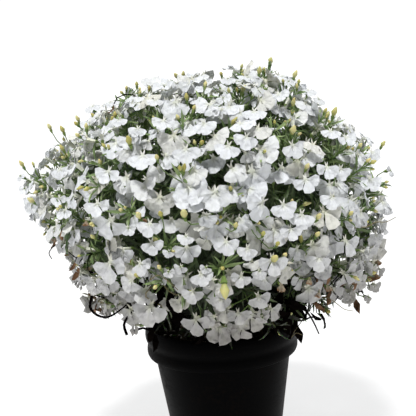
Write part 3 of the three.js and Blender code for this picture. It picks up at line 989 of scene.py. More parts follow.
# A leaf may reach lower only inside the pot's rim, at least this far from it.
LOWEST_LEAF_TIP = 98 * MM
RIM_GAP = 6 * MM
chance = random.Random(37)


def leaves_on(line, first, last, count, lengths, lean):
    """Leaves in a spiral on part of a line, without those that would cut into the pot."""
    rows = []
    start = chance.uniform(0, 2 * math.pi)
    for k in range(count):
        share = first + (last - first) * (k + chance.random()) / count
        place = share * (len(line) - 1)
        knot = min(int(place), len(line) - 2)
        spot = line[knot].lerp(line[knot + 1], place - knot)
        way = (line[knot + 1] - line[knot]).normalized()
        aside = way.orthogonal().normalized()
        aside.rotate(Quaternion(way, start + k * GOLDEN_ANGLE))
        tilt = math.radians(chance.uniform(*lean))
        grows = math.cos(tilt) * way + math.sin(tilt) * aside
        shows = (math.cos(tilt) * aside - math.sin(tilt) * way) * -1
        shows.rotate(Quaternion(grows, chance.gauss(0, 0.5)))
        length = chance.uniform(*lengths)
        place = frame_at(spot, shows, grows, length / LEAF_LENGTH)
        kind = chance.choice(leaf_templates)
        tone = chance.random()
        tip = spot + length * MM * grows
        if tip.z > LOWEST_LEAF_TIP or tip.xy.length < SOIL_RADIUS - RIM_GAP:
            rows.append((kind, place, tone))
    return rows


outer_rows = []
inner_rows = []
for shoot in shoots:
    outer_rows += leaves_on(shoot["line"], *OUTER_LEAVES)
    inner_rows += leaves_on(shoot["line"], *INNER_LEAVES)
for line in main_lines:
    inner_rows += leaves_on(line, *STEM_LEAVES)
outer_leaves = plant_out("leaves", outer_rows)
inner_leaves = plant_out("inner_leaves", inner_rows)
throw_away(leaf_templates)


# %% [markdown]
# ### Leaf green
# Each leaf has its own tone, from deep to greyish green, and a paler midrib. The inner
# leaves get darker greens as painted shade, and just above the pot all leaves turn nearly
# black, which is painted shade under the mound too. A dozen finishes could give that
# variety, but one recipe with two pairs of greens does, because it reads the marks that each
# copy carries.

# %% Leaf green
def leaf_green(name, deep, fresh):
    green = Finish(name, roughness=0.46, gloss=0.45)
    green.set("Subsurface Weight", 0.12)
    green.set("Subsurface Radius", (0.4, 1.0, 0.2))
    green.set("Subsurface Scale", 0.0012)
    tone = green.mark("tone")
    blotch = green.noise(240, 3)
    colour = green.mix(tone * 0.75 + blotch * 0.3, deep, fresh)
    rib = green.clamp(green.mark("middle"), 0.72, 1.0)
    colour = green.mix(rib * 0.35, colour, (0.22, 0.3, 0.1, 1))
    brown = green.clamp(green.mark("along") * tone, 0.86, 0.97)
    colour = green.mix(brown, colour, (0.16, 0.09, 0.03, 1))
    # Painted shade: leaves low in the mound, just above the pot, are painted nearly black.
    painted_low_shade = 1 - green.clamp(green.axis("Z") + tone * 0.012, 0.12, 0.172)
    green.paint(painted_low_shade * 0.9, colour, (0.006, 0.005, 0.003, 1))
    green.set("Roughness", 0.4 + blotch * 0.2)
    green.bump(green.noise(1400, 2) * 0.5 + rib, 0.00012)
    return green


leaf_green("leaf_green", (0.05, 0.09, 0.03, 1), (0.33, 0.43, 0.18, 1)).cover(outer_leaves)
# Painted shade: the inner leaves get a darker copy of the leaf green, for the shade inside the
# mound.
painted_shade_green = leaf_green("painted_shade_leaf_green", (0.022, 0.038, 0.017, 1), (0.1, 0.145, 0.06, 1))
painted_shade_green.cover(inner_leaves)
print("leaf greens ready")

# %% [markdown]
# ## Blooms
# A lobelia bloom has a short tube, a lip of three broad lobes that hang like a skirt, and
# two narrow lobes that stand up like ears. The lobes could be one cut sheet, but separate
# blades that overlap at the throat can each bend their own way, as the real ones do. Six
# templates, from wide open to half folded, keep the mound from repeating itself.

# %% One bloom
# Rings of the blades: share of the length, and half width.
LOBE_RINGS = [(0.3, 1.9 * MM), (0.64, 4.3 * MM), (0.9, 3.6 * MM)]
EAR_RINGS = [(0.3, 0.75 * MM), (0.66, 0.5 * MM)]
# How far the edges of a lobe wave forward and back, in mm.
RUFFLE = 0.7
TUBE_LENGTH = 6.5 * MM


def lobe(length, curls, ruffle):
    """One of the three broad lobes of the lip."""
    return blade(length, LOBE_RINGS, 0.28 * MM, 0.8 * MM, curls, ruffle=ruffle)


def bloom(fan, fold, droop, ears, shrink=1.0, twist=0.0):
    """One bloom that faces -Y, with its throat at the origin.

    fan: angle between the middle lobe and a side lobe.
    fold: how far a side lobe turns its face to the middle.
    droop: backward bends of the lobes, from tip to root.
    ears: spread and backward lean of the two upper lobes.
    shrink: size of the lip's lobes.
    twist: how far the middle lobe turns its face aside.
    """
    curls = list(zip((0.93, 0.7, 0.34), droop))
    middle = lobe(11 * MM * shrink, curls, RUFFLE * MM)
    parts = [lay(middle, (-24, "X"), (twist, "Z"), (0, -0.5 * MM, 0.2 * MM))]
    for side in (-1, 1):
        wing = lobe(10 * MM * shrink, curls, RUFFLE * side * MM)
        lay(wing, (fold * side, "Z"), (-14, "X"), (-fan * side, "Y"), (0, -0.25 * MM, 0.1 * MM))
        parts.append(wing)
    for side in (-1, 1):
        ear = blade(4.7 * MM, EAR_RINGS, 0.45 * MM, 0.0, [(0.66, -16), (0.3, -14)], sides=3)
        lay(ear, (180, "Y"), (ears[1], "X"), (ears[0] * side, "Y"), (0, 0.3 * MM, 0.4 * MM))
        write_mark(ear, "cream", lambda place: 1.0)
        parts.append(ear)
    clear_selection()
    bpy.ops.mesh.primitive_cone_add(
        vertices=5, radius1=0.85 * MM, radius2=1.7 * MM, depth=TUBE_LENGTH, end_fill_type="NGON"
    )
    tube = bpy.context.object
    write_mark(tube, "along", lambda place: 0.0)
    write_mark(tube, "middle", lambda place: 0.5 - place.z / TUBE_LENGTH)
    write_mark(tube, "tone", lambda place: 0.5)
    lay(tube, (78, "X"), (0, TUBE_LENGTH / 2, -0.5 * MM))
    parts.append(tube)
    whole = unite(parts, "bloom")
    bpy.ops.object.shade_smooth_by_angle(angle=math.radians(55))
    return whole


print("blooms can be made")

# %% Bloom templates
bloom_templates = [
    bloom(60, 8, (16, 20, 12), (22, -6)),
    bloom(54, 18, (24, 34, 16), (27, 12), twist=7),
    bloom(68, -6, (8, 14, 8), (16, -16)),
    bloom(48, 30, (30, 38, 22), (30, 24), 0.92),
    bloom(63, 2, (-16, 20, 28), (26, 0), twist=-10),
    bloom(57, 14, (40, 10, -8), (20, 30), 0.88),
]
# Every second template is wide open, as the blooms that stand out in the photograph are.
wide_open = bloom_templates[::2]
wilted_bloom = bloom(30, 62, (60, 44, 26), (10, 36), 0.85, 14)
widths = bloom_templates[0].dimensions / MM
faces = len(bloom_templates[0].data.polygons)
print("bloom", [round(v, 1) for v in widths], "mm,", faces, "faces")

# %% Blooms and gaps seen in the photograph
# Column, row, width and lean of the middle of a bloom in the photograph. Its throat lies
# higher, by BLOOM_HANG of its width.
SEEN_BLOOMS = [
    (151, 320, 42, 10), (196, 330, 34, -8), (193, 300, 26, 12), (201, 283, 27, -15),
    (206, 272, 14, 30), (221, 307, 26, 14), (226, 330, 13, -30), (238, 321, 25, 0),
    (262, 322, 17, -14), (258, 305, 27, -20), (241, 284, 24, 22), (226, 252, 30, -6),
    (247, 257, 25, 16), (272, 271, 34, 4), (283, 216, 32, -10), (301, 226, 32, 14),
    (290, 238, 26, -4), (152, 252, 27, -12), (169, 256, 14, 25), (129, 234, 18, -35),
    (150, 234, 30, 8), (186, 243, 20, 18), (111, 277, 43, -12), (108, 291, 30, 8),
    (132, 289, 25, 30), (169, 276, 14, -25), (181, 272, 17, 20), (259, 277, 20, -10),
    (378, 274, 16, 10), (373, 290, 18, -12), (367, 301, 14, 20), (389, 176, 16, 50),
    (371, 160, 22, -20), (375, 241, 20, 8), (345, 252, 32, -8), (318, 268, 30, 12),
    (353, 280, 22, -16), (305, 190, 30, -10), (331, 207, 28, 15), (369, 189, 28, -6),
    (326, 177, 28, 10), (292, 156, 30, -14), (254, 122, 28, 5), (278, 103, 24, -20),
    (246, 148, 30, 20), (204, 134, 28, -12), (164, 130, 26, 10), (186, 161, 32, -5),
    (228, 157, 30, 16), (90, 130, 22, -10), (138, 137, 22, 14), (143, 168, 34, -4),
    (109, 182, 30, 10), (61, 178, 24, -16), (66, 218, 24, 12), (98, 214, 30, -8),
    (228, 86, 18, 0), (156, 108, 20, 8), (223, 105, 18, -30), (308, 98, 20, 10),
    (318, 106, 18, 20), (345, 146, 24, -12), (340, 178, 26, 6), (22, 181, 14, -30),
    (26, 194, 15, 14), (112, 110, 20, -14), (330, 140, 24, 10), (60, 205, 20, -10),
    (93, 114, 20, -15), (185, 84, 16, 20), (205, 88, 16, -16), (288, 88, 16, 12),
    (120, 127, 20, 0),
]
BLOOM_HANG = 0.34
# Column, row and radius of a place without wilted blooms or dead leaves in the photograph.
SEEN_CLEAN = [
    (212, 304, 18), (178, 318, 15), (128, 320, 15), (160, 320, 18), (240, 300, 16),
    (266, 320, 17), (304, 322, 12),
]
# Column, row and radius of a green gap in the photograph.
SEEN_GAPS = [
    (190, 114, 11), (97, 170, 9), (232, 98, 8), (278, 125, 9), (196, 263, 10), (223, 268, 9),
    (160, 290, 12), (172, 246, 7), (265, 249, 7), (114, 236, 7), (92, 249, 8), (297, 137, 7),
    (172, 318, 14), (288, 304, 16), (285, 322, 12), (270, 64, 16), (310, 310, 14),
    (158, 324, 17), (178, 332, 12),
]
print(len(SEEN_BLOOMS), "blooms and", len(SEEN_GAPS), "gaps are placed by the photograph")

# %% Places of the blooms
BLOOMS = 1250
BLOOM_WIDTH = 21 * MM
# Throats lie from 1 mm over the mound's surface to 16 mm under it, most of them near it.
THROAT_RISE = 1
THROAT_SPREAD = 17
# A bloom of the photograph stands out this far, so that no other one covers it.
BLOOM_RISE = 3.5 * MM
LOWEST_BLOOM = 113 * MM
chance = random.Random(5)


def nudge(spread):
    """A small random way."""
    return Vector([chance.gauss(0, spread) for _ in range(3)])


def bloom_frame(normal, bearing):
    """A bloom faces out of the mound, more level than the surface, and its lip hangs."""
    level = Vector((math.cos(bearing), math.sin(bearing), 0))
    facing = 0.7 * normal + 0.4 * level
    facing.z = max(facing.z, -0.15)
    facing += Vector((chance.gauss(0, 0.38), chance.gauss(0, 0.38), chance.gauss(0.1, 0.26)))
    upper = 0.8 * UP - 0.5 * level
    upper.rotate(Quaternion(facing, chance.gauss(0, 0.6)))
    return facing.normalized(), upper


def seen_frame(column, row, width, lean):
    """A bloom whose throat is over the middle of its lip, where the photograph shows it."""
    spot, normal, _, distance = seen_at(column, row - BLOOM_HANG * width)
    facing = 0.6 * away + 0.5 * normal + 0.15 * UP
    facing += nudge(0.12)
    upper = UP.copy()
    upper.rotate(Quaternion(facing.normalized(), -math.radians(lean)))
    size = width * distance / PIXELS_A_RADIAN / BLOOM_WIDTH
    return frame_at(spot + BLOOM_RISE * away, facing, upper, size)


# Spots for the throats of no other blooms: those of the seen blooms, the gaps and the bays.
taken = [(x, y - BLOOM_HANG * width, 0.4 * width) for x, y, width, lean in SEEN_BLOOMS]
taken += [(x, y - 6, radius) for x, y, radius in SEEN_GAPS]
taken += SEEN_BAYS


bloom_rows = []
for k, seen in enumerate(SEEN_BLOOMS):
    place = seen_frame(*seen)
    bloom_rows.append((wide_open[k % len(wide_open)], place, 0.5 * chance.random()))
for point, normal, bearing in mound_places(BLOOMS, SHAKE, chance):
    facing, upper = bloom_frame(normal, bearing)
    spot = point - (THROAT_SPREAD * chance.random() ** 1.3 - THROAT_RISE) * MM * normal
    place = frame_at(spot, facing, upper, chance.uniform(0.68, 1.16))
    kind = chance.choice(bloom_templates)
    tone = chance.random()
    if spot.z > LOWEST_BLOOM and not in_a_spot(spot, taken):
        bloom_rows.append((kind, place, tone))
blooms = plant_out("blooms", bloom_rows)

# %% Wilted blooms
# As SEEN_BLOOMS.
SEEN_WILTED = [
    (281, 292, 22, 0), (318, 297, 18, 20), (327, 291, 17, -15), (309, 284, 16, 10),
    (86, 226, 15, -20), (56, 242, 14, 25), (352, 284, 13, 0), (147, 222, 12, 30),
]
# Beside them, every second of the lowest places of a coarse spread gets one.
COARSE_PLACES = 90
WILTED = 12
wilted_rows = []
for seen in SEEN_WILTED:
    place = seen_frame(*seen)
    wilted_rows.append((wilted_bloom, place, chance.random()))
for point, normal, bearing in mound_places(COARSE_PLACES, SHAKE, chance)[-2 * WILTED::2]:
    facing, upper = bloom_frame(normal, bearing)
    place = frame_at(point, facing, upper, chance.uniform(0.8, 1.1))
    tone = chance.random()
    if not in_a_spot(point, SEEN_BAYS + SEEN_CLEAN):
        wilted_rows.append((wilted_bloom, place, tone))
wilted_blooms = plant_out("wilted_blooms", wilted_rows)
throw_away([*bloom_templates, wilted_bloom])

# %% [markdown]
# ### White petal
# The petals are a cool white with a faint yellow-green throat, fine veins and a soft, thin
# look. Older blooms are a little creamier, and the lowest ones are painted grey, which is
# painted shade under the mound. A see-through shader would let light pass through a petal,
# but grows noisy where dozens overlap. A small share of subsurface scattering looks as soft.

# %% White petal
white_petal = Finish("white_petal", roughness=0.55, gloss=0.3)
white_petal.set("Subsurface Weight", 0.2)
white_petal.set("Subsurface Radius", (1.0, 1.0, 0.9))
white_petal.set("Subsurface Scale", 0.0016)
along = white_petal.mark("along")
tone = white_petal.mark("tone")
vein = white_petal.clamp(white_petal.mark("middle"), 0.55, 1.0)
crumple = white_petal.noise(300, 2)
fold = white_petal.noise(150, 1)
# Painted shade: blooms low in the mound are painted grey, darker towards the bottom.
painted_low_petal_shade = 1 - white_petal.clamp(white_petal.axis("Z") + tone * 0.02, 0.11, 0.195)
petal = white_petal.mix(tone ** 3, (0.72, 0.74, 0.765, 1), (0.66, 0.65, 0.58, 1))
petal = white_petal.mix(painted_low_petal_shade * 0.85, petal, (0.24, 0.215, 0.19, 1))
petal = white_petal.mix(vein * 0.16, petal, (0.5, 0.53, 0.44, 1))
petal = white_petal.mix(white_petal.mark("cream") * 0.35, petal, (0.7, 0.67, 0.42, 1))
throat = 1 - white_petal.clamp(along, 0.0, 0.36)
white_petal.paint(throat * 0.5, petal, (0.62, 0.64, 0.42, 1))
white_petal.set("Roughness", 0.5 + crumple * 0.2)
white_petal.bump(crumple + fold * 4 + vein * 0.4, 0.0006)
white_petal.cover(blooms)
print("petal has", len(white_petal.tree.nodes), "nodes")

# %% [markdown]
# ### Wilted petal
# A spent bloom turns tan and then amber from its edges inwards before it drops. The white
# finish could do that with one more mark, but would then be hard to read. So this is a short
# finish of its own, and the mark along each lobe says how near its edge is.

# %% Wilted petal
wilted_petal = Finish("wilted_petal", roughness=0.7, gloss=0.2)
along = wilted_petal.mark("along")
spots = wilted_petal.noise(300, 4)
tan = wilted_petal.mix(wilted_petal.mark("tone"), (0.42, 0.36, 0.27, 1), (0.3, 0.22, 0.13, 1))
amber = wilted_petal.clamp(along + spots * 0.8, 0.8, 1.3)
wilted_petal.paint(amber * 0.8, tan, (0.2, 0.075, 0.02, 1))
wilted_petal.bump(spots, 0.0008)
wilted_petal.cover(wilted_blooms)
print("wilted petal has", len(wilted_petal.tree.nodes), "nodes")

# %% [markdown]
# ## Calyces and stalks
# Behind each tube sits a small green cup with five fine teeth, at the end of a thin stalk
# that leaves the nearest shoot. The cup is modelled once and copied. A copied stalk would
# need stretching, since each has its own length, so the stalks are drawn as lines.

# %% Calyx template
TEETH = 5
TOOTH_LENGTH = 4.2 * MM
TOOTH_RINGS = [(0.3, 0.42 * MM), (0.65, 0.3 * MM)]
clear_selection()
bpy.ops.mesh.primitive_cone_add(
    vertices=TEETH, radius1=0.6 * MM, radius2=1.35 * MM, depth=2.4 * MM
)
cup = bpy.context.object
write_mark(cup, "tone", lambda place: 0.5)
teeth = [cup]
for k in range(TEETH):
    tooth = blade(TOOTH_LENGTH, TOOTH_RINGS, sides=3)
    lay(tooth, (180, "Y"), (-26, "X"), (0, -1.1 * MM, 0.8 * MM), (360 / TEETH * k, "Z"))
    teeth.append(tooth)
calyx = unite(teeth, "calyx")
lay(calyx, (90, "X"))
bpy.ops.object.shade_smooth_by_angle(angle=math.radians(55))
print("calyx faces", len(calyx.data.polygons))

# %% Calyces and stalks of the blooms
# A stalk leaves a shoot about this far behind its end and this far below it.
STALK_BACK = 15 * MM
STALK_DOWN = 5 * MM
CALYX_DEPTH = 1.2 * MM
# Radii in mm at the start and the end.
BLOOM_STALK = (0.42, 0.34)
chance = random.Random(71)


def stalk_line(spot, way):
    """A thin stalk from the nearest shoot to a spot, where it arrives along a way."""
    line = min(shoots, key=lambda shoot: (shoot["tip"] - spot).length)["line"]
    wish = spot - STALK_BACK * way - STALK_DOWN * UP
    knot = min(range(5, len(line)), key=lambda k: (line[k] - wish).length)
    start = line[knot]
    reach = (spot - start).length
    leaving = (start - line[knot - 1]).normalized()
    return arc(start, 0.35 * reach * leaving, spot, 0.4 * reach * way, 5)


calyx_rows = []
stalk_lines = []
for _, place, _ in bloom_rows + wilted_rows:
    end = place @ Vector((0, TUBE_LENGTH, -CALYX_DEPTH))
    way = -(place.to_3x3() @ Vector((0, 1, -0.25))).normalized()
    facing = (place.to_3x3() @ Vector((0, -1, 0.15))).normalized()
    calyx_rows.append((calyx, frame_at(end, facing, UP + 0.3 * facing.yzx), chance.random()))
    stalk_lines.append((stalk_line(end - CALYX_DEPTH * facing, way), *BLOOM_STALK))
print(len(stalk_lines), "stalks")

# %% [markdown]
# ## Buds
# Pale yellow buds stand out between the blooms and past the mound's outline, each in a calyx
# on its own stalk. Young ones are still green at the root. A spun profile would give a
# straight bud. A small ball, drawn out, narrowed at both ends and bent, has as few faces and
# a nod to one side.

# %% Bud templates
bud_templates = []
# Length and half width in mm, and bend in degrees.
for length, half, bend in [(4.8, 1.6, 0), (6.2, 1.75, 10), (8.5, 1.7, 22)]:
    clear_selection()
    bpy.ops.mesh.primitive_uv_sphere_add(segments=6, ring_count=4, radius=length / 2 * MM)
    bud = bpy.context.object
    open_mesh(picked=True)
    widen(2 * half / length, 2 * half / length, 1)
    shift(z=length / 2 * MM)
    pick(lambda place: place.z < 0.3 * length * MM)
    widen(0.72, 0.72, 1)
    pick(lambda place: place.z > 0.6 * length * MM)
    widen(0.66, 0.66, 1)
    turn(bend, "X", (0, 0, 0.5 * length * MM))
    close_mesh()
    write_mark(bud, "along", lambda place: place.z / (length * MM))
    write_mark(bud, "tone", lambda place: 0.5)
    lay(bud, (90, "X"))
    bpy.ops.object.shade_smooth()
    bud_templates.append(bud)
print(len(bud_templates), "bud templates")

# %% Places of the buds
BUDS = 240
# Column, row and size of a bud in the photograph.
SEEN_BUDS = [
    (65, 134, 1.0), (65, 152, 0.9), (80, 123, 0.9), (25, 168, 1.0), (52, 131, 0.9),
    (270, 66, 0.9), (259, 76, 1.0), (293, 80, 1.1), (332, 118, 1.2), (380, 148, 0.9),
    (316, 220, 1.0), (348, 216, 0.8), (315, 237, 0.9), (276, 246, 0.8), (283, 257, 0.8),
    (185, 218, 1.3), (141, 219, 1.1), (162, 217, 0.9), (235, 228, 0.9), (262, 236, 0.8),
    (139, 277, 0.8), (161, 269, 0.8), (187, 102, 0.9), (158, 161, 0.8), (291, 136, 1.2),
    (305, 170, 0.9), (36, 203, 1.1), (96, 239, 0.8), (131, 146, 1.2), (272, 262, 1.3),
]
# One large bud hangs down over the lip of a bloom.
HANGING_BUD = (224, 281, 1.7)
BUD_RISE = 3 * MM
BUD_STALK = (0.42, 0.32)
chance = random.Random(97)
bud_rows = []


def add_bud(spot, facing, kind, size):
    """A bud in its calyx, at the end of its stalk."""
    place = frame_at(spot, facing, UP + 0.3 * facing.yzx, size)
    bud_rows.append((kind, place, chance.random()))
    calyx_rows.append((calyx, place @ Matrix.Translation((0, 0.6 * MM, 0)), chance.random()))
    stalk_lines.append((stalk_line(spot - 1.4 * MM * facing, facing), *BUD_STALK))


for column, row, size in [*SEEN_BUDS, HANGING_BUD]:
    spot, normal, _, _ = seen_at(column, row)
    hangs = (column, row, size) == HANGING_BUD
    facing = (0.5 * away - UP if hangs else normal + 1.1 * UP).normalized()
    add_bud(spot + BUD_RISE * away, facing, bud_templates[1], size)
for k in range(BUDS):
    shoot = shoots[k % len(shoots)]
    facing = shoot["normal"] + 0.4 * UP
    facing += Vector([chance.uniform(-0.8, 0.8) for _ in range(3)])
    facing.normalize()
    spot = shoot["tip"] + chance.uniform(3, 8) * MM * facing
    kind = chance.choices(bud_templates, (5, 4, 2))[0]
    size = chance.uniform(0.55, 0.95)
    if not in_a_spot(spot, SEEN_BAYS):
        add_bud(spot, facing, kind, size)
buds = plant_out("buds", bud_rows)
calyces = plant_out("calyces", calyx_rows)
bloom_stalks = stalks("bloom_stalks", stalk_lines)
throw_away([*bud_templates, calyx])

# %% [markdown]
# ### Buds, calyces and stalks
# Buds are cream with a green root, calyces and stalks a fresh green. One finish could serve
# all three and tell them apart by marks. Two short ones are plainer: one for the buds, and
# one green that is made twice, with other colours for the stalks.

# %% Bud, calyx and stalk finishes
pale_bud = Finish("pale_bud", roughness=0.5)
pale_bud.set("Subsurface Weight", 0.15)
pale_bud.set("Subsurface Scale", 0.001)
tone = pale_bud.mark("tone")
cream = pale_bud.mix(tone, (0.42, 0.39, 0.09, 1), (0.68, 0.63, 0.3, 1))
root = 1 - pale_bud.clamp(pale_bud.mark("along"), 0.05, 0.6)
pale_bud.paint(root * 0.8, cream, (0.22, 0.28, 0.07, 1))
pale_bud.bump(pale_bud.noise(900, 3), 0.0003)
pale_bud.cover(buds)


def fresh_green(name, tone_share, deep, fresh):
    """A green whose change over the surface is shared by soft shades and each copy's tone."""
    green = Finish(name)
    shade = green.noise(300, 3)
    green.paint(green.mark("tone") * tone_share + shade * (1 - tone_share), deep, fresh)
    green.bump(shade, 0.0002)
    return green


fresh_green("fresh_calyx", 0.6, (0.05, 0.12, 0.02, 1), (0.24, 0.32, 0.08, 1)).cover(calyces)
fresh_stalk = fresh_green("fresh_stalk", 0, (0.06, 0.13, 0.025, 1), (0.2, 0.28, 0.08, 1))
fresh_stalk.cover(bloom_stalks)
print("bud, calyx and stalk finishes ready")

# %% [markdown]
# ## Dried leaves and strips
# Under the mound's edge hang old leaves and stalks that have dried to curled strips. Some
# leaves are reddish brown; the others, the strips and the twigs are nearly black, which is
# painted shade under the mound. Crumpling leaves with a simulation would cost many faces, so
# they are copies of two broader, twisted blades. A strip is a line from the nearest shoot
# through a few places read off the photograph, all at one depth under the mound's surface.

# %% Dried leaf templates
DRIED_LENGTH = 14 * MM
DRIED_RINGS = [(0.25, 1.4 * MM), (0.55, 2.3 * MM), (0.82, 1.3 * MM)]
dried_templates = []
for cup, twist, curls in [
    (0.9 * MM, 30, [(0.8, 40), (0.5, 30), (0.25, 20)]),
    (1.2 * MM, -45, [(0.8, -50), (0.5, 34), (0.25, 30)]),
]:
    leaf = blade(DRIED_LENGTH, DRIED_RINGS, cup=cup, curls=curls)
    open_mesh()
    pick(lambda place: place.z < -6 * MM)
    turn(twist, "Z")
    close_mesh()
    dried_templates.append(leaf)
print("dried leaf faces", len(leaf.data.polygons))

# %% Dried leaves seen in the photograph
# Column, row and size of a dried leaf's upper end.
SEEN_BROWN = [
    (333, 287, 1.0), (327, 293, 0.9), (338, 284, 0.8), (352, 276, 0.8), (313, 299, 0.8),
    (345, 279, 0.7), (66, 254, 0.6), (79, 267, 0.8), (75, 262, 0.6), (54, 241, 0.7),
    (114, 104, 0.7), (88, 292, 0.6), (140, 303, 0.7), (372, 224, 0.6), (62, 230, 0.6),
]
# Nearly black leaves hung where the mound's underside is in deep shade: real dried leaves, with
# painted shade for their colour.
SEEN_DARK = [
    (291, 287, 1.2), (298, 290, 1.2), (305, 295, 1.1), (300, 303, 1.2), (307, 307, 1.0),
    (293, 303, 1.2), (289, 314, 1.1), (296, 316, 1.1), (302, 318, 0.9), (312, 314, 0.9),
    (286, 300, 1.4), (292, 296, 1.5), (288, 308, 1.5), (294, 310, 1.5), (284, 314, 1.4),
    (298, 324, 1.2), (290, 320, 1.4), (286, 290, 1.3), (303, 311, 1.3), (170, 292, 1.4),
    (160, 294, 1.4), (177, 298, 1.4), (150, 336, 1.2), (147, 280, 1.4), (154, 284, 1.5),
    (162, 280, 1.4), (150, 292, 1.3), (166, 288, 1.5), (143, 288, 1.2), (176, 284, 1.4),
    (172, 304, 1.4), (145, 282, 1.5), (151, 278, 1.5), (282, 296, 1.5), (280, 306, 1.4),
    (287, 318, 1.5), (296, 300, 1.5), (153, 327, 1.0), (283, 322, 1.0), (275, 300, 1.0),
    (128, 300, 0.9),
]
print(len(SEEN_BROWN) + len(SEEN_DARK), "dried leaves are placed by the photograph")

# %% Places of the dried leaves
# Beside those, the lowest places of a finer spread get one each.
FINER_PLACES = 120
SKIRT_LEAVES = 34
SKIRT_DEPTH = 4 * MM
# How far behind the mound's surface the leaves of the photograph hang.
DRIED_DEPTH = {"brown": 0.0, "dark": 13 * MM}
TWIG = (0.4, 0.3)
chance = random.Random(131)


def hanging_leaf(spot, size):
    """A dried leaf that hangs from a spot and faces about any way."""
    facing = nudge(1) + 0.6 * away
    upper = UP + 0.45 * nudge(1)
    return chance.choice(dried_templates), frame_at(spot, facing, upper, size), chance.random()


twigs = []
dried_rows = {"brown": [], "dark": []}
for kind, seen in (("brown", SEEN_BROWN), ("dark", SEEN_DARK)):
    for column, row, size in seen:
        spot = seen_at(column, row)[0] - DRIED_DEPTH[kind] * away
        dried_rows[kind].append(hanging_leaf(spot, size))
        twigs.append((stalk_line(spot, -UP), *TWIG))
skirt = mound_places(FINER_PLACES, SHAKE, chance)[-SKIRT_LEAVES:]
for k, (point, normal, bearing) in enumerate(skirt):
    spot = point - SKIRT_DEPTH * normal
    leaf = hanging_leaf(spot, chance.uniform(0.7, 1.2))
    if not in_a_spot(spot, SEEN_CLEAN):
        dried_rows["dark" if k % 3 else "brown"].append(leaf)
        twigs.append((stalk_line(spot, -UP), *TWIG))
brown_leaves = plant_out("brown_leaves", dried_rows["brown"])
dark_leaves = plant_out("dark_leaves", dried_rows["dark"])
throw_away(dried_templates)

# %% Strips and wisps
# Radii in mm at both ends of a strip, and the columns and rows that it passes.
SEEN_STRIPS = [
    (0.35, 1.0, [(128, 301), (120, 310), (108, 317), (97, 315), (90, 307), (92, 296)]),
    (0.5, 1.0, [(133, 308), (128, 316), (124, 325), (127, 335)]),
    (0.5, 0.9, [(149, 328), (143, 328), (133, 331)]),
    (0.5, 0.3, [(98, 296), (92, 293), (88, 287)]),
    (0.9, 0.4, [(297, 306), (306, 311), (313, 321), (319, 334)]),
    (0.8, 0.4, [(296, 318), (304, 320), (312, 317), (321, 320)]),
    (0.5, 0.3, [(62, 243), (54, 246), (49, 253), (52, 259)]),
]
SEEN_WISPS = [
    (0.4, 0.2, [(366, 227), (376, 222), (386, 222), (396, 217)]),
    (0.35, 0.2, [(326, 297), (336, 303), (344, 309), (353, 311)]),
    (0.35, 0.2, [(98, 301), (108, 304), (120, 304)]),
    (0.35, 0.2, [(290, 338), (296, 333), (302, 335)]),
    (0.4, 0.25, [(150, 280), (158, 275), (168, 281), (178, 290)]),
    (0.4, 0.25, [(146, 297), (152, 287), (162, 284), (170, 292), (182, 296)]),
]
# How far behind the mound's surface they lie. Wisps stand out in front of it.
STRIP_DEPTH = 13 * MM
WISP_DEPTH = -4 * MM
# The knot that a strip grows from lies near a place this far behind the strip's first one.
STRIP_ROOT = 30 * MM


def strip_line(seen, depth):
    """A smooth line from the nearest shoot through the places that the camera sees, at a depth
    under the mound's surface."""
    distance = seen_at(*seen[0])[3] + depth
    points = [from_picture(column, row, distance) for column, row in seen]
    root = points[0] - STRIP_ROOT * away
    knots = [knot for shoot in shoots for knot in shoot["line"][4:]]
    points = [min(knots, key=lambda knot: (knot - root).length), *points]
    line = []
    for k, (start, end) in enumerate(zip(points, points[1:])):
        leaving = end - points[max(k - 1, 0)]
        arriving = points[min(k + 2, len(points) - 1)] - start
        line += arc(start, leaving / 6, end, arriving / 6, 4)[:-1]
    return [*line, points[-1]]


strip_lines = [(strip_line(seen, STRIP_DEPTH), a, b) for a, b, seen in SEEN_STRIPS]
dark_strips = stalks("dark_strips", strip_lines, 1)
wisps = stalks("wisps", [(strip_line(seen, WISP_DEPTH), a, b) for a, b, seen in SEEN_WISPS])
leaf_twigs = stalks("leaf_twigs", twigs)

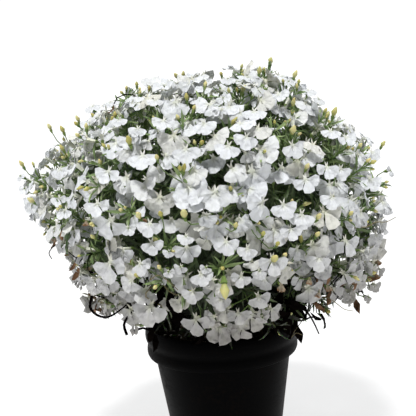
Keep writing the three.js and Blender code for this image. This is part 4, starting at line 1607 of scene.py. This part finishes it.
# %% [markdown]
# ### Dried finishes
# Dead leaves differ from one to the next. A finish for each would be too many, so the tone
# of each copy runs between two browns, and a noise breaks up each leaf. The same finish in
# straw serves the wisps, and in nearly black, which is painted shade, the dark leaves,
# strips and twigs.

# %% Dried finishes
def dried(name, deep, fresh, gloss=0.06):
    finish = Finish(name, roughness=0.8, gloss=gloss)
    blotch = finish.noise(420, 4)
    finish.paint(finish.mark("tone") * 0.6 + blotch * 0.6, deep, fresh)
    finish.bump(blotch, 0.0006)
    return finish


brown = dried("dried_brown", (0.055, 0.024, 0.012, 1), (0.24, 0.14, 0.08, 1))
brown.cover(brown_leaves)
# Partly real and partly painted: real dried leaves, strips and twigs, whose near-black is painted
# shade under the mound.
black = dried("dried_and_painted_shade_black", (0.0008, 0.0006, 0.0006, 1), (0.005, 0.0035, 0.003, 1), gloss=0.0)
black.cover(dark_leaves, dark_strips, leaf_twigs)
straw = dried("dried_straw", (0.12, 0.1, 0.05, 1), (0.3, 0.26, 0.15, 1))
straw.cover(wisps)
print("dried finishes ready")

# %% [markdown]
# ## Handing the pieces over
# Every piece rides on the plant's one body, and the solids that it stands for are hidden. A
# few lines for each piece would do that too, but a list of groups shows at a glance which
# pieces stand for which solids.

# %% Pieces and their solids
stem_nodes = [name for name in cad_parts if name.startswith("leafy_stem")]
bloom_nodes = [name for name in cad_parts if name.startswith("blooms_")]
# Slot, solids, and the pieces that stand for them.
handed = [
    ("black_plastic", ["pot"], [pot]),
    ("potting_soil", ["soil"], [soil, crumbs, perlite]),
    ("foliage", stem_nodes, [
        main_stems, side_shoots, outer_leaves, inner_leaves, bloom_stalks, calyces,
        brown_leaves, dark_leaves, dark_strips, wisps, leaf_twigs,
    ]),
    ("petals", stem_nodes, [buds]),
    ("petals", bloom_nodes, [blooms, wilted_blooms]),
]
for slot, nodes, pieces in handed:
    for piece in pieces:
        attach(piece, "root")
        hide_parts(*nodes)
print(sum(len(pieces) for _, _, pieces in handed), "pieces handed over")

# %% Sizes
low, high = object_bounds()
sizes = {
    "cad_low": list(cad_low), "cad_high": list(cad_high), "low": list(low), "high": list(high)
}
for name, corner in sizes.items():
    print(name, [round(v / MM, 1) for v in corner])
